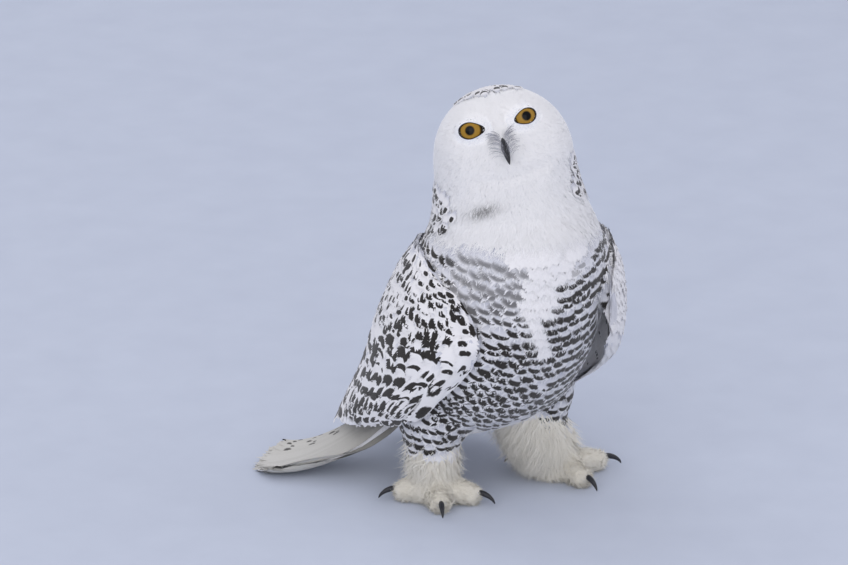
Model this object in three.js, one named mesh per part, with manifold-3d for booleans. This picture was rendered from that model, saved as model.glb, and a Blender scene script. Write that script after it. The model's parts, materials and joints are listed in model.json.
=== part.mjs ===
// A life-size snowy owl standing on the ground, turned to look over its right side.
// Units are millimetres, +Z is up and the owl's pelvis faces -Y, so its left side is +X.
// Head, neck and trunk are one warped form, parted by thin cuts. The wings, tail, legs, toes,
// claws, bill and eyes are warped forms of their own, and what they sink into is cut clear of them.
import * as THREE from "three";
import { mergeVertices } from "three/addons/utils/BufferGeometryUtils.js";
import Module from "manifold-3d";

const wasm = await Module();
wasm.setup();

// ---- Driving dimensions -------------------------------------------------------------------
const PART_GAP = 0.35; // clearance of every thin cut between neighbouring pieces
const RIGHT = -1;
const LEFT = 1;

// Body: level sections from the vent to the widest part of the head. z is the height, y the centre
// behind the feet, side the half width, front and back the depths from the centre, and turn the
// twist in degrees towards the owl's right.
const BODY = [
  { z: 54, y: 58, side: 70, front: 66, back: 92, turn: 0 },
  { z: 100, y: 30, side: 88, front: 82, back: 128, turn: 2 },
  { z: 150, y: 12, side: 101, front: 90, back: 120, turn: 10 },
  { z: 200, y: 4, side: 106, front: 94, back: 104, turn: 20 },
  { z: 245, y: -7, side: 98, front: 82, back: 88, turn: 27 },
  { z: 280, y: -11, side: 84, front: 75, back: 81, turn: 34 },
  { z: 314, y: -3, side: 74, front: 66, back: 74, turn: 43 },
  { z: 349, y: 4, side: 70, front: 66, back: 70, turn: 48 },
];
const VENT = { z: 112, depth: 58, squareness: 2.6 }; // the body closes below this height
const CROWN = { z: 349, height: 69, squareness: 2.05 }; // and above this one
const NECK_CUT = { z: 266, pitch: 8 }; // where the neck leaves the trunk
const HEAD_CUT = { z: 297, pitch: -10 }; // where the head leaves the neck

// The face's own frame looks along -Y, with its origin in the middle of the skull.
const HEAD = { y: 4, z: 349, yaw: -48, pitch: 21, roll: 14 };
const FACE = { flatFrom: 45, softness: 5, flattening: 0.6 }; // how the front of the head flattens
const EYE = { side: 25, up: 30.5, radius: 17, depth: 56 };
const BILL = { top: 18, tip: -11, root: 34, reach: 71, halfWidth: 8, halfHeight: 10, curl: 80 };

// Folded wing: bands down the flank. front and back are angles round the body from the breast,
// stand and flare are how far the wing stands off the body at its front and its back edge, and
// thick is its thickness.
const WING = [
  { z: 262, front: 80, back: 132, stand: -1, flare: -1, thick: 6 },
  { z: 245, front: 60, back: 156, stand: -1, flare: 1, thick: 12 },
  { z: 205, front: 45, back: 170, stand: 2, flare: 6, thick: 15 },
  { z: 170, front: 48, back: 174, stand: 6, flare: 14, thick: 14 },
  { z: 135, front: 66, back: 176, stand: 10, flare: 26, thick: 12 },
  { z: 104, front: 84, back: 176, stand: 13, flare: 36, thick: 7 },
];
const WING_EDGE = 0.25; // thickness of a wing's edges, as a share of its greatest thickness
const WING_DROP = { by: 60, over: 0.75, power: 1.5 }; // how the bottom edge falls towards the back
const WING_LOOSE = {
  [RIGHT]: { forward: 0, stand: 0, lower: 0 },
  [LEFT]: { forward: 15, stand: 8, lower: 12 },
}; // how much further forward, out and down the bottom of each wing hangs

// Legs: where each foot stands, and its toes as [angle outwards from straight ahead, length].
const FEET = {
  [RIGHT]: { x: -67, y: 34, toes: [[-16, 50], [44, 50], [130, 44], [-150, 37]] },
  [LEFT]: { x: 63, y: -16, toes: [[-17, 57], [54, 53], [135, 46], [-160, 42]] },
};
const KNEE = {
  [RIGHT]: { x: -66, y: 44, z: 86 },
  [LEFT]: { x: 34, y: 15, z: 86 },
};
const THIGH_CENTRE = {
  [RIGHT]: { x: -62, y: 41, z: 96 },
  [LEFT]: { x: 50, y: 2, z: 97 },
};
const THIGH = { side: 36, depth: 42, height: 54 };
const SHIN_LOW = 12;
const LEG_RADII = {
  [RIGHT]: { knee: 31, ankle: 24, instep: 25, sole: 28 },
  [LEFT]: { knee: 37, ankle: 31, instep: 30, sole: 33 },
}; // out to the tips of the hair-like feathers, which the left leg fluffs out
const FOOT = { low: -1, high: 24 };
const TOE = { start: 10, rootRadius: 16.5, rootHeight: 12, tipRadius: 11, tipHeight: 9.6 };
const CLAW = { length: 28, radius: 4.4, bend: 84, overlap: 5, height: 14.2, droop: 0.62, taper: 0.82 };

// Tail: a blade along a curve that ends flat on the ground.
const TAIL = {
  line: [[-14, 104, 84], [-46, 138, 34], [-82, 176, 2], [-118, 230, 1.2]],
  rootHalf: 30,
  tipHalf: 38,
  rootThick: 12,
  tipThick: 3,
  rounding: 0.12, // how far the corners of its end are drawn back
};

// ---- Small tools --------------------------------------------------------------------------
const SLIVER = 1e-4; // triangles smaller than this, in square millimetres, have no true facing
const SAME_FACING = 0.98; // cosine between two triangles that count as facing the same way
const STEEPEST = 0.3; // limits how far a sharp corner moves when a shape is grown
const WELD = 1e-3; // corners closer than this are one corner

const rad = THREE.MathUtils.degToRad;
const mix = THREE.MathUtils.lerp;
const UP = new THREE.Vector3(0, 0, 1);

// Smooth reading of a table of sections: returns the section at a given height.
function sectionReader(rows) {
  const ordered = [...rows].sort((a, b) => a.z - b.z);
  const keys = Object.keys(ordered[0]).filter((key) => key !== "z");
  const heights = ordered.map((row) => row.z);
  const values = ordered.flatMap((row) => keys.map((key) => row[key]));
  const spline = new THREE.CubicInterpolant(heights, values, keys.length);
  return (z) => {
    const found = spline.evaluate(THREE.MathUtils.clamp(z, heights[0], heights.at(-1)));
    return Object.fromEntries(keys.map((key, i) => [key, found[i]]));
  };
}

// Merges the corners that lie together and turns every triangle over where a mirrored warp has
// left the surface facing inwards.
function closed(geometry) {
  geometry.deleteAttribute("normal");
  geometry.deleteAttribute("uv");
  const merged = mergeVertices(geometry, WELD);
  const position = merged.getAttribute("position");
  const index = merged.index.array;
  const corners = [new THREE.Vector3(), new THREE.Vector3(), new THREE.Vector3()];
  let volume = 0;
  for (let i = 0; i < index.length; i += 3) {
    corners.forEach((corner, k) => corner.fromBufferAttribute(position, index[i + k]));
    volume += corners[0].dot(corners[1].clone().cross(corners[2]));
  }
  if (volume < 0) index.reverse();
  return merged;
}

// Moves every corner of a three.js geometry through a function of its position.
function warp(geometry, place) {
  const position = geometry.getAttribute("position");
  const point = new THREE.Vector3();
  for (let i = 0; i < position.count; i++) {
    point.fromBufferAttribute(position, i);
    position.setXYZ(i, ...place(point));
  }
  return closed(geometry);
}

// A copy that is larger all over, for cutting a neighbour with clearance. Each corner moves along
// the mean of its triangles' directions, and far enough to clear the steepest of them.
function grown(geometry, by = PART_GAP) {
  const position = geometry.getAttribute("position");
  const index = geometry.index.array;
  const facings = Array.from({ length: position.count }, () => []);
  const triangle = new THREE.Triangle();
  for (let i = 0; i < index.length; i += 3) {
    const corners = [index[i], index[i + 1], index[i + 2]];
    triangle.setFromAttributeAndIndices(position, ...corners);
    if (triangle.getArea() < SLIVER) continue;
    const facing = triangle.getNormal(new THREE.Vector3());
    for (const corner of corners) {
      const known = facings[corner].some((other) => other.dot(facing) > SAME_FACING);
      if (!known) facings[corner].push(facing);
    }
  }
  const copy = geometry.clone();
  facings.forEach((around, i) => {
    const mean = around.reduce((sum, facing) => sum.add(facing), new THREE.Vector3()).normalize();
    const steepest = Math.min(...around.map((facing) => facing.dot(mean)));
    const point = new THREE.Vector3().fromBufferAttribute(position, i);
    point.addScaledVector(mean, by / Math.max(steepest, STEEPEST));
    copy.getAttribute("position").setXYZ(i, ...point);
  });
  return copy;
}

function solidOf(geometry) {
  const mesh = new wasm.Mesh({
    numProp: 3,
    vertProperties: new Float32Array(geometry.getAttribute("position").array),
    triVerts: new Uint32Array(geometry.index.array),
  });
  return new wasm.Manifold(mesh);
}

function geometryOf(solid) {
  const mesh = solid.getMesh();
  const geometry = new THREE.BufferGeometry();
  geometry.setAttribute("position", new THREE.BufferAttribute(mesh.vertProperties, mesh.numProp));
  geometry.setIndex(new THREE.BufferAttribute(mesh.triVerts, 1));
  return geometry;
}

// The largest of a solid's separate bodies, so that a cut leaves no crumbs.
const mainBody = (solid) => solid.decompose().sort((a, b) => b.volume() - a.volume())[0];

const cutClearOf = (solid, shapes) =>
  shapes.reduce((left, shape) => left.subtract(solidOf(grown(shape))), solid);

// A block that fills all space above a level plane, which pitch degrees tilt up towards +Y.
function above({ z, pitch = 0 }, lift = 0) {
  const size = 900;
  const block = new THREE.BoxGeometry(size, size, size);
  block.translate(0, 0, size / 2 + lift);
  block.rotateX(rad(pitch));
  block.translate(0, 0, z);
  return solidOf(closed(block));
}

// ---- Body ---------------------------------------------------------------------------------
const bodyTable = sectionReader(BODY);

// How far the body has closed in at a height: 1 between the vent and the crown, 0 at both ends.
function closing(z) {
  const below = Math.max(0, VENT.z - z) / VENT.depth;
  const over = Math.max(0, z - CROWN.z) / CROWN.height;
  const low = Math.pow(Math.max(0, 1 - below ** VENT.squareness), 1 / VENT.squareness);
  const high = Math.pow(Math.max(0, 1 - over ** CROWN.squareness), 1 / CROWN.squareness);
  return low * high;
}

// A point of the body at a height and an angle round it from the breast, moved outwards by off.
function bodyPoint(z, angle, off = 0, shrink = 1) {
  const { y, side, front, back, turn } = bodyTable(z);
  const forward = Math.cos(angle);
  const depth = forward > 0 ? front : back;
  return new THREE.Vector3(Math.sin(angle) * (side + off), -forward * (depth + off), 0)
    .multiplyScalar(shrink)
    .applyAxisAngle(UP, -rad(turn))
    .add(new THREE.Vector3(0, y, z));
}

const headPlace = new THREE.Matrix4()
  .makeTranslation(0, HEAD.y, HEAD.z)
  .multiply(new THREE.Matrix4().makeRotationZ(rad(HEAD.yaw)))
  .multiply(new THREE.Matrix4().makeRotationX(-rad(HEAD.pitch)))
  .multiply(new THREE.Matrix4().makeRotationY(-rad(HEAD.roll)));
const headFrame = headPlace.clone().invert();

// Presses the front of the head back to the flat facial disc.
function flattened(point) {
  const inside = point.clone().applyMatrix4(headFrame);
  const excess = Math.max(0, -inside.y - FACE.flatFrom);
  inside.y += (FACE.flattening * excess * excess) / (excess + FACE.softness);
  return inside.applyMatrix4(headPlace);
}

function bodyShape(around = 28, along = 24) {
  const low = VENT.z - VENT.depth;
  const high = CROWN.z + CROWN.height;
  return warp(new THREE.SphereGeometry(1, around, along), (p) => {
    const z = mix(low, high, (p.y + 1) / 2);
    return flattened(bodyPoint(z, Math.atan2(p.x, -p.z), 0, closing(z)));
  });
}

// ---- Eyes and bill ------------------------------------------------------------------------
function eyeShape(side) {
  const eye = new THREE.SphereGeometry(EYE.radius, 14, 9);
  eye.translate(side * EYE.side, EYE.radius - EYE.depth, EYE.up);
  eye.applyMatrix4(headPlace);
  return closed(eye);
}

// A cone that leaves the face between the eyes and hooks down to its tip.
function billShape() {
  const curl = rad(BILL.curl);
  return warp(new THREE.SphereGeometry(1, 10, 9), (p) => {
    const t = (1 - p.y) / 2;
    const bend = curl * t;
    const radius = Math.sqrt(Math.max(0, 4 * t * (1 - t))) * (1 - 0.75 * t);
    const ring = Math.hypot(p.x, p.z) || 1;
    const across = (p.x / ring) * radius * BILL.halfWidth;
    const thick = (p.z / ring) * radius * BILL.halfHeight;
    const ahead = mix(BILL.root, BILL.reach, Math.sin(bend) / Math.sin(curl));
    const height = mix(BILL.top, BILL.tip, (1 - Math.cos(bend)) / (1 - Math.cos(curl)));
    return new THREE.Vector3(
      across,
      -ahead - thick * Math.sin(bend),
      height + thick * Math.cos(bend),
    ).applyMatrix4(headPlace);
  });
}

// ---- Wings and tail -----------------------------------------------------------------------
const wingTable = sectionReader(WING);

// A curved shell over the flank: the box's length runs back round the body, its height down the
// wing and its depth from the inner to the outer face.
function wingShape(side, across = 12, along = 11) {
  const loose = WING_LOOSE[side];
  return warp(new THREE.BoxGeometry(1, 1, 1, across, along, 1), (p) => {
    const s = p.x + 0.5;
    const down = 0.5 - p.y;
    const level = mix(WING[0].z, WING.at(-1).z, down);
    const { front, back, stand, flare, thick } = wingTable(level);
    const angle = side * rad(mix(front - loose.forward * down, back, s));
    const bulge = mix(WING_EDGE, 1, Math.sqrt(Math.sin(Math.PI * THREE.MathUtils.clamp(s, 0.02, 0.98))));
    const inner = mix(stand + loose.stand * down, flare, s);
    const fall = 1 - Math.pow(1 - Math.min(1, s / WING_DROP.over), WING_DROP.power);
    const drop = (loose.lower + WING_DROP.by * fall) * down;
    return bodyPoint(level, angle, inner + thick * bulge * (p.z + 0.5)).setZ(level - drop);
  });
}

function tailShape(across = 8, along = 10) {
  const line = new THREE.CubicBezierCurve3(...TAIL.line.map((at) => new THREE.Vector3(...at)));
  const root = line.getPoint(0);
  return warp(new THREE.BoxGeometry(1, 1, 1, across, along, 1), (p) => {
    const t = 0.5 - p.y;
    const ahead = line.getTangent(t);
    const sideways = UP.clone().cross(ahead).normalize();
    const up = ahead.clone().cross(sideways);
    const thick = mix(TAIL.rootThick, TAIL.tipThick, t);
    const crest = 0.5 * (1 - 4 * p.x * p.x) * (1 - t);
    const drawnBack = TAIL.rounding * Math.abs(2 * p.x) ** 3 * t;
    return line
      .getPoint(t)
      .lerp(root, drawnBack)
      .addScaledVector(sideways, 2 * p.x * mix(TAIL.rootHalf, TAIL.tipHalf, t))
      .addScaledVector(up, (p.z + crest) * thick);
  });
}

// ---- Legs and feet ------------------------------------------------------------------------
// A limb with rounded ends along a line, with its own radius at each end.
function limbShape(from, to, radiusFrom, radiusTo, around, along) {
  const axis = to.clone().sub(from);
  const turn = new THREE.Quaternion().setFromUnitVectors(
    new THREE.Vector3(0, 1, 0),
    axis.clone().normalize(),
  );
  return warp(new THREE.SphereGeometry(1, around, along), (p) => {
    const t = (p.y + 1) / 2;
    const ring = Math.hypot(p.x, p.z) || 1;
    const radius = (mix(radiusFrom, radiusTo, t) * Math.pow(1 - p.y ** 4, 0.25)) / ring;
    return new THREE.Vector3(p.x * radius, 0, p.z * radius)
      .applyQuaternion(turn)
      .addScaledVector(axis, t)
      .add(from);
  });
}

const standingAt = (side, height) => new THREE.Vector3(FEET[side].x, FEET[side].y, height);

const toeAhead = (side, angle) =>
  new THREE.Vector3(side * Math.sin(rad(angle)), -Math.cos(rad(angle)), 0);

function toeShape(side, [angle, length]) {
  const ahead = toeAhead(side, angle);
  const from = standingAt(side, TOE.rootHeight).addScaledVector(ahead, TOE.start);
  const to = standingAt(side, TOE.tipHeight).addScaledVector(ahead, length);
  return limbShape(from, to, TOE.rootRadius, TOE.tipRadius, 10, 5);
}

// A claw: a cone that bends down in an arc from the end of its toe.
function clawShape(side, [angle, length]) {
  const ahead = toeAhead(side, angle);
  const sideways = UP.clone().cross(ahead);
  const root = standingAt(side, CLAW.height).addScaledVector(ahead, length - CLAW.overlap);
  const arc = CLAW.length / rad(CLAW.bend);
  return warp(new THREE.SphereGeometry(1, 7, 6), (p) => {
    const t = (1 - p.y) / 2;
    const bend = rad(CLAW.bend) * t;
    const round = Math.sqrt(Math.max(0, 1 - (2 * t - 1) ** 4));
    const radius = CLAW.radius * round * (1 - CLAW.taper * t);
    const ring = Math.hypot(p.x, p.z) || 1;
    const thick = (p.z / ring) * radius;
    const fall = arc * CLAW.droop * (1 - Math.cos(bend));
    return root
      .clone()
      .addScaledVector(ahead, (arc + thick) * Math.sin(bend))
      .addScaledVector(sideways, (p.x / ring) * radius)
      .addScaledVector(UP, thick * Math.cos(bend) - fall);
  });
}

const footShape = (side) =>
  limbShape(
    standingAt(side, FOOT.low),
    standingAt(side, FOOT.high),
    LEG_RADII[side].sole,
    LEG_RADII[side].instep,
    12,
    5,
  );

function shinShape(side) {
  const { x, y, z } = KNEE[side];
  const top = new THREE.Vector3(x, y, z);
  const { ankle, knee } = LEG_RADII[side];
  return limbShape(standingAt(side, SHIN_LOW), top, ankle, knee, 12, 6);
}

function thighShape(side) {
  const { x, y, z } = THIGH_CENTRE[side];
  const thigh = new THREE.SphereGeometry(1, 14, 9);
  thigh.scale(THIGH.side, THIGH.height, THIGH.depth);
  thigh.rotateX(rad(90));
  thigh.translate(x, y, z);
  return closed(thigh);
}

// ---- Parting the owl into its pieces ------------------------------------------------------
const SIDES = { right: RIGHT, left: LEFT };
const solids = {};
const overFloor = above({ z: 0 });
const body = solidOf(bodyShape());
const sunkInTrunk = [];
const sunkInNeck = [];
const sunkInHead = [];

const bill = billShape();
solids.bill = solidOf(bill);
sunkInHead.push(bill);

for (const [name, side] of Object.entries(SIDES)) {
  const eye = eyeShape(side);
  solids[`eye_${name}`] = solidOf(eye);
  sunkInHead.push(eye);

  const wing = wingShape(side);
  solids[`wing_${name}`] = solidOf(wing);
  sunkInNeck.push(wing);

  const thigh = thighShape(side);
  const shin = shinShape(side);
  const foot = footShape(side);
  solids[`thigh_${name}`] = cutClearOf(solidOf(thigh), [shin, wing]);
  solids[`leg_${name}`] = cutClearOf(solidOf(shin), [foot, wing]);
  solids[`foot_${name}`] = solidOf(foot).intersect(overFloor);
  sunkInTrunk.push(wing, thigh, shin);

  // Each toe gives way to the foot, the shin, its own claw and the toes before it.
  const earlier = [];
  FEET[side].toes.forEach((toe, i) => {
    const claw = clawShape(side, toe);
    const shape = toeShape(side, toe);
    const parted = cutClearOf(solidOf(shape), [foot, shin, claw, ...earlier]);
    solids[`toe_${name}_${i + 1}`] = parted.intersect(overFloor);
    solids[`claw_${name}_${i + 1}`] = solidOf(claw).intersect(overFloor);
    earlier.push(shape);
  });
}

const tail = tailShape();
sunkInTrunk.push(tail);
solids.tail = cutClearOf(solidOf(tail), sunkInNeck).intersect(overFloor);

const overNeckCut = above(NECK_CUT);
const neckAndHead = body.intersect(overNeckCut);
solids.trunk = cutClearOf(body.subtract(above(NECK_CUT, -PART_GAP)), sunkInTrunk);
solids.neck = cutClearOf(neckAndHead.subtract(above(HEAD_CUT, -PART_GAP)), sunkInNeck);
solids.head = cutClearOf(neckAndHead.intersect(above(HEAD_CUT)), sunkInHead);

// ---- Finishes and the model ---------------------------------------------------------------
const FINISHES = {
  plumage: { color: 0xe6e4e4, roughness: 0.9, metalness: 0 },
  leg_plumage: { color: 0xe2ddcf, roughness: 0.95, metalness: 0 },
  horn: { color: 0x23211f, roughness: 0.35, metalness: 0 },
  eye: { color: 0xb8892a, roughness: 0.08, metalness: 0 },
};

function finishOf(name) {
  if (/^(claw|bill)/.test(name)) return FINISHES.horn;
  if (name.startsWith("eye")) return FINISHES.eye;
  if (/^(leg|foot|toe)/.test(name)) return FINISHES.leg_plumage;
  return FINISHES.plumage;
}

const owl = new THREE.Group();
owl.name = "snowy_owl";
for (const [name, solid] of Object.entries(solids)) {
  const mesh = new THREE.Mesh(
    geometryOf(mainBody(solid)),
    new THREE.MeshStandardMaterial(finishOf(name)),
  );
  mesh.name = name;
  owl.add(mesh);
}

// The origin lies under the middle of the owl's bounding box, at the level of its soles.
const reach = new THREE.Box3().setFromObject(owl);
const middle = reach.getCenter(new THREE.Vector3());
owl.children.forEach((mesh) => mesh.geometry.translate(-middle.x, -middle.y, -reach.min.z));

export default owl;
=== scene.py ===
"""A life-size snowy owl: one skin, its plumage of joined mesh feathers, and its eyes, bill and claws.

Lengths in this file are millimetres and become metres where a mesh is written. The owl's right
side is -X and its left side +X. A feather is laid out in its own two coordinates: u runs across
the vane from -1 to 1 and v along it from 0 at the root to 1 at the tip.
"""

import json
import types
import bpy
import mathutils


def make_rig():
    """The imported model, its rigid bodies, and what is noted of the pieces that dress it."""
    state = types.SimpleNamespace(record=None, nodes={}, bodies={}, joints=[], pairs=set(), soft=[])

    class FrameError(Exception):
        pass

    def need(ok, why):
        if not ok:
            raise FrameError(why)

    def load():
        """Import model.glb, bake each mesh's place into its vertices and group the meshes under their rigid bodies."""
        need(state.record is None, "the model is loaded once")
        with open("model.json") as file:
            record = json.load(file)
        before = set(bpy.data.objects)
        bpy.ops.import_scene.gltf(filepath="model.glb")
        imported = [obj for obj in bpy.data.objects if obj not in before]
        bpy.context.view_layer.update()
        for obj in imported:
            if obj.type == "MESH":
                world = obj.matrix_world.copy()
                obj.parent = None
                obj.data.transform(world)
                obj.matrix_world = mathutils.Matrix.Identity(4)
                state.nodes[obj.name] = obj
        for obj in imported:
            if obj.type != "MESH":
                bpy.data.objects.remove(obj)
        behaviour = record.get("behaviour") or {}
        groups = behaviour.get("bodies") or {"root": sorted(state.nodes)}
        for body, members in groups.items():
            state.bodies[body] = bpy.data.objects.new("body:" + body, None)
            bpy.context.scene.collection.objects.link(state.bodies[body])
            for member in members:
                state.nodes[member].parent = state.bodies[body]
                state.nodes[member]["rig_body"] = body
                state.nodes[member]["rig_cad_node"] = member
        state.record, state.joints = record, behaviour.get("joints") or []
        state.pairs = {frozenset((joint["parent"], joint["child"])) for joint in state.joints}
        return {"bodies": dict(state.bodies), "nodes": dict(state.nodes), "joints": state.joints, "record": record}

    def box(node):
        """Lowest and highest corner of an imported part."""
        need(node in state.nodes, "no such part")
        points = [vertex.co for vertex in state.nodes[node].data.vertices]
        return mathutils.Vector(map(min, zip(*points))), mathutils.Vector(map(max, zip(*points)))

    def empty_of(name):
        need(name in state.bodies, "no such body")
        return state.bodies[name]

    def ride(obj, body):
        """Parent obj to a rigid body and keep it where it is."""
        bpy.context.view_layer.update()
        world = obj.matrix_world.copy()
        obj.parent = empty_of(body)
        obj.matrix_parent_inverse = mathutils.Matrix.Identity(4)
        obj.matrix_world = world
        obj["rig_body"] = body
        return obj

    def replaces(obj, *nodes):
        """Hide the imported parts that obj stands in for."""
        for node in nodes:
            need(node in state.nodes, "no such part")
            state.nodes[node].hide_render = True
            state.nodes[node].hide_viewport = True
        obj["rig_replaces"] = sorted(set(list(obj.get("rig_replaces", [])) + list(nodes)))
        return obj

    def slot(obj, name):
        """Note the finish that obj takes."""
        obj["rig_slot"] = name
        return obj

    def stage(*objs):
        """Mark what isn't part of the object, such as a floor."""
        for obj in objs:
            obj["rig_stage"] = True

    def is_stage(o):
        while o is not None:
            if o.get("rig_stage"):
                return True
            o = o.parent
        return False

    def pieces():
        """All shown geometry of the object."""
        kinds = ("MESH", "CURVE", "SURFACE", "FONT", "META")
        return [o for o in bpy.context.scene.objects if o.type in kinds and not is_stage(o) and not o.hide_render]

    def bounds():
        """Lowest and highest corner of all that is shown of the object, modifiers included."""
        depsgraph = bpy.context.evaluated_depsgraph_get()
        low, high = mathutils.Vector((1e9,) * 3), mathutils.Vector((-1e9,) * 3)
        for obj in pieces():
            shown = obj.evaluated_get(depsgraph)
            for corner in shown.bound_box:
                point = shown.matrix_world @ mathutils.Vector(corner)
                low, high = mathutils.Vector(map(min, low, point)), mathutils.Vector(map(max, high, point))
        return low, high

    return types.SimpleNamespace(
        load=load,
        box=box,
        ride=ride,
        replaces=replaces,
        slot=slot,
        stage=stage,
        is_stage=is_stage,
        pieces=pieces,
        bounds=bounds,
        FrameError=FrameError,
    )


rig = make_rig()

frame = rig.load()
CAD_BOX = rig.bounds()

import json
import logging
import math
from collections import defaultdict
from collections.abc import Callable
from dataclasses import dataclass, field, fields, replace
from enum import Enum
from typing import Self

import bmesh
import bpy
import numpy as np
from mathutils import Vector
from mathutils.bvhtree import BVHTree
from mathutils.kdtree import KDTree

Array = np.ndarray
Given = dict[str, float | Array]  # how a set of feathers is marked, by the names of Marks
Material = bpy.types.Material
Mesh = bpy.types.Mesh
NodeTree = bpy.types.NodeTree
log = logging.getLogger("snowy_owl")

MM = 0.001
BODY = "root"
BAKE_MAP = "OFBake"
PATCH = 0.003  # how wide one feather's patch is on the unwrapped skin
UP = np.array([0.0, 0.0, 1.0])
DICE = np.random.default_rng(7)  # the one source of chance, so that each run gives the same owl


class Side(Enum):
    """The owl's two sides, with the sign of X on each."""

    RIGHT = -1
    LEFT = 1

    @property
    def word(self) -> str:
        """The side's name as the frame's nodes spell it."""
        return self.name.lower()


# ---- Small tools ----------------------------------------------------------------------------
def unit(vectors: Array) -> Array:
    """The same vectors, each divided by its length."""
    return vectors / np.maximum(np.linalg.norm(vectors, axis=-1, keepdims=True), 1e-9)


def dot(a: Array, b: Array) -> Array:
    """The dot products of two arrays of vectors, with the last axis kept at length one."""
    return (a * b).sum(-1, keepdims=True)


def ramp(value: Array, low: float, high: float) -> Array:
    """A smooth step from 0 at low to 1 at high, which may lie below low."""
    t = np.clip((value - low) / (high - low), 0.0, 1.0)
    return t * t * (3.0 - 2.0 * t)


def hill(value: Array, middle: float, width: float) -> Array:
    """A smooth hill, one at its middle and almost nothing two widths away."""
    return np.exp(-(((value - middle) / width) ** 2))


def arc(t: Array, start: Array, bend: Array, end: Array) -> Array:
    """Points on the curve from start to end that is drawn towards bend, where t goes from 0 to 1."""
    return (1 - t) ** 2 * start + 2 * t * (1 - t) * bend + t**2 * end


def turned(axis: str, degrees: float) -> Array:
    """A rotation matrix.

    Args:
        axis: "x", "y" or "z".
        degrees: the turn, by the right-hand rule.

    Returns:
        A 3 by 3 matrix.
    """
    c, s = math.cos(math.radians(degrees)), math.sin(math.radians(degrees))
    i, j = {"x": (1, 2), "y": (2, 0), "z": (0, 1)}[axis]
    matrix = np.eye(3)
    matrix[i, i] = matrix[j, j] = c
    matrix[i, j], matrix[j, i] = -s, s
    return matrix


def box_of(node: str) -> tuple[Array, Array]:
    """The lowest and highest corner of one of the frame's nodes, in millimetres."""
    low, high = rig.box(node)
    return np.array(low) / MM, np.array(high) / MM


def middle_of(node: str) -> Array:
    """The middle of one of the frame's nodes, in millimetres."""
    low, high = box_of(node)
    return (low + high) / 2.0


def mesh_arrays(mesh: Mesh, corners: int) -> tuple[Array, Array]:
    """A mesh's points and faces.

    Args:
        mesh: a mesh whose faces all have the same number of corners.
        corners: that number.

    Returns:
        Points in millimetres, and faces as rows of point numbers.
    """
    points = np.empty(len(mesh.vertices) * 3)
    mesh.vertices.foreach_get("co", points)
    faces = np.empty(len(mesh.loops), np.int64)
    mesh.loops.foreach_get("vertex_index", faces)
    return points.reshape(-1, 3) / MM, faces.reshape(-1, corners)


def tree_of(points: Array, faces: Array) -> BVHTree:
    """A search tree over a mesh given as arrays."""
    return BVHTree.FromPolygons(points.tolist(), faces.tolist())

def point_tree(points: Array) -> KDTree:
    """A search tree that finds points by their row numbers."""
    tree = KDTree(len(points))
    for i, place in enumerate(points.tolist()):
        tree.insert(place, i)
    tree.balance()
    return tree


def node_tree(node: str) -> BVHTree:
    """A search tree over one of the frame's nodes."""
    return tree_of(*mesh_arrays(frame["nodes"][node].data, 3))


def ring_quads(rings: int, around: int) -> Array:
    """The quads that join closed rings of points, given how many rings and how many points round each."""
    here = np.arange((rings - 1) * around).reshape(-1, around)
    after = np.roll(here, -1, axis=1)
    return np.stack([here, after, after + around, here + around], 2).reshape(-1, 4)


def linear(hex_colour: str) -> tuple[float, float, float, float]:
    """An sRGB colour of six hex digits as the linear red, green, blue and alpha that shaders work in."""
    parts = [int(hex_colour[i : i + 2], 16) / 255.0 for i in (0, 2, 4)]
    red, green, blue = [p / 12.92 if p <= 0.04045 else ((p + 0.055) / 1.055) ** 2.4 for p in parts]
    return red, green, blue, 1.0

def connect(tree: NodeTree, node: bpy.types.Node, inputs: dict[str | int, object]) -> None:
    """Fills a node's sockets.

    Args:
        tree: the node's tree.
        node: the node.
        inputs: for each socket's name or number, a value to set or an output to link from.
    """
    for key, value in inputs.items():
        if isinstance(value, bpy.types.NodeSocket):
            tree.links.new(value, node.inputs[key])
        else:
            node.inputs[key].default_value = value


def add_node(
    tree: NodeTree, kind: str, inputs: dict[str | int, object] | None = None, **settings: object
) -> bpy.types.Node:
    """Adds one shader node.

    Args:
        tree: the node tree it goes into.
        kind: Blender's name for the node, after "ShaderNode".
        inputs: what goes into its sockets, as connect takes it.
        settings: the node's own properties.

    Returns:
        The new node.
    """
    node = tree.nodes.new("ShaderNode" + kind)
    for name, value in settings.items():
        setattr(node, name, value)
    connect(tree, node, inputs or {})
    return node


def start_material(name: str) -> tuple[Material, NodeTree, bpy.types.Node]:
    """Makes an empty material: returns it, its node tree and its surface shader."""
    material = bpy.data.materials.new(name)
    material.use_nodes = True
    return material, material.node_tree, material.node_tree.nodes["Principled BSDF"]


# What each of a coat piece's attributes holds, for the feather's finish to read.
MARKING = {
    "vane": ("u", "v", "chance"),
    "mark": ("centre_v", "half_v", "centre_u"),
    "span": ("half_u", "strength", "bow"),
    "beat": ("beat", "clear_tip", "soft"),
}


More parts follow.
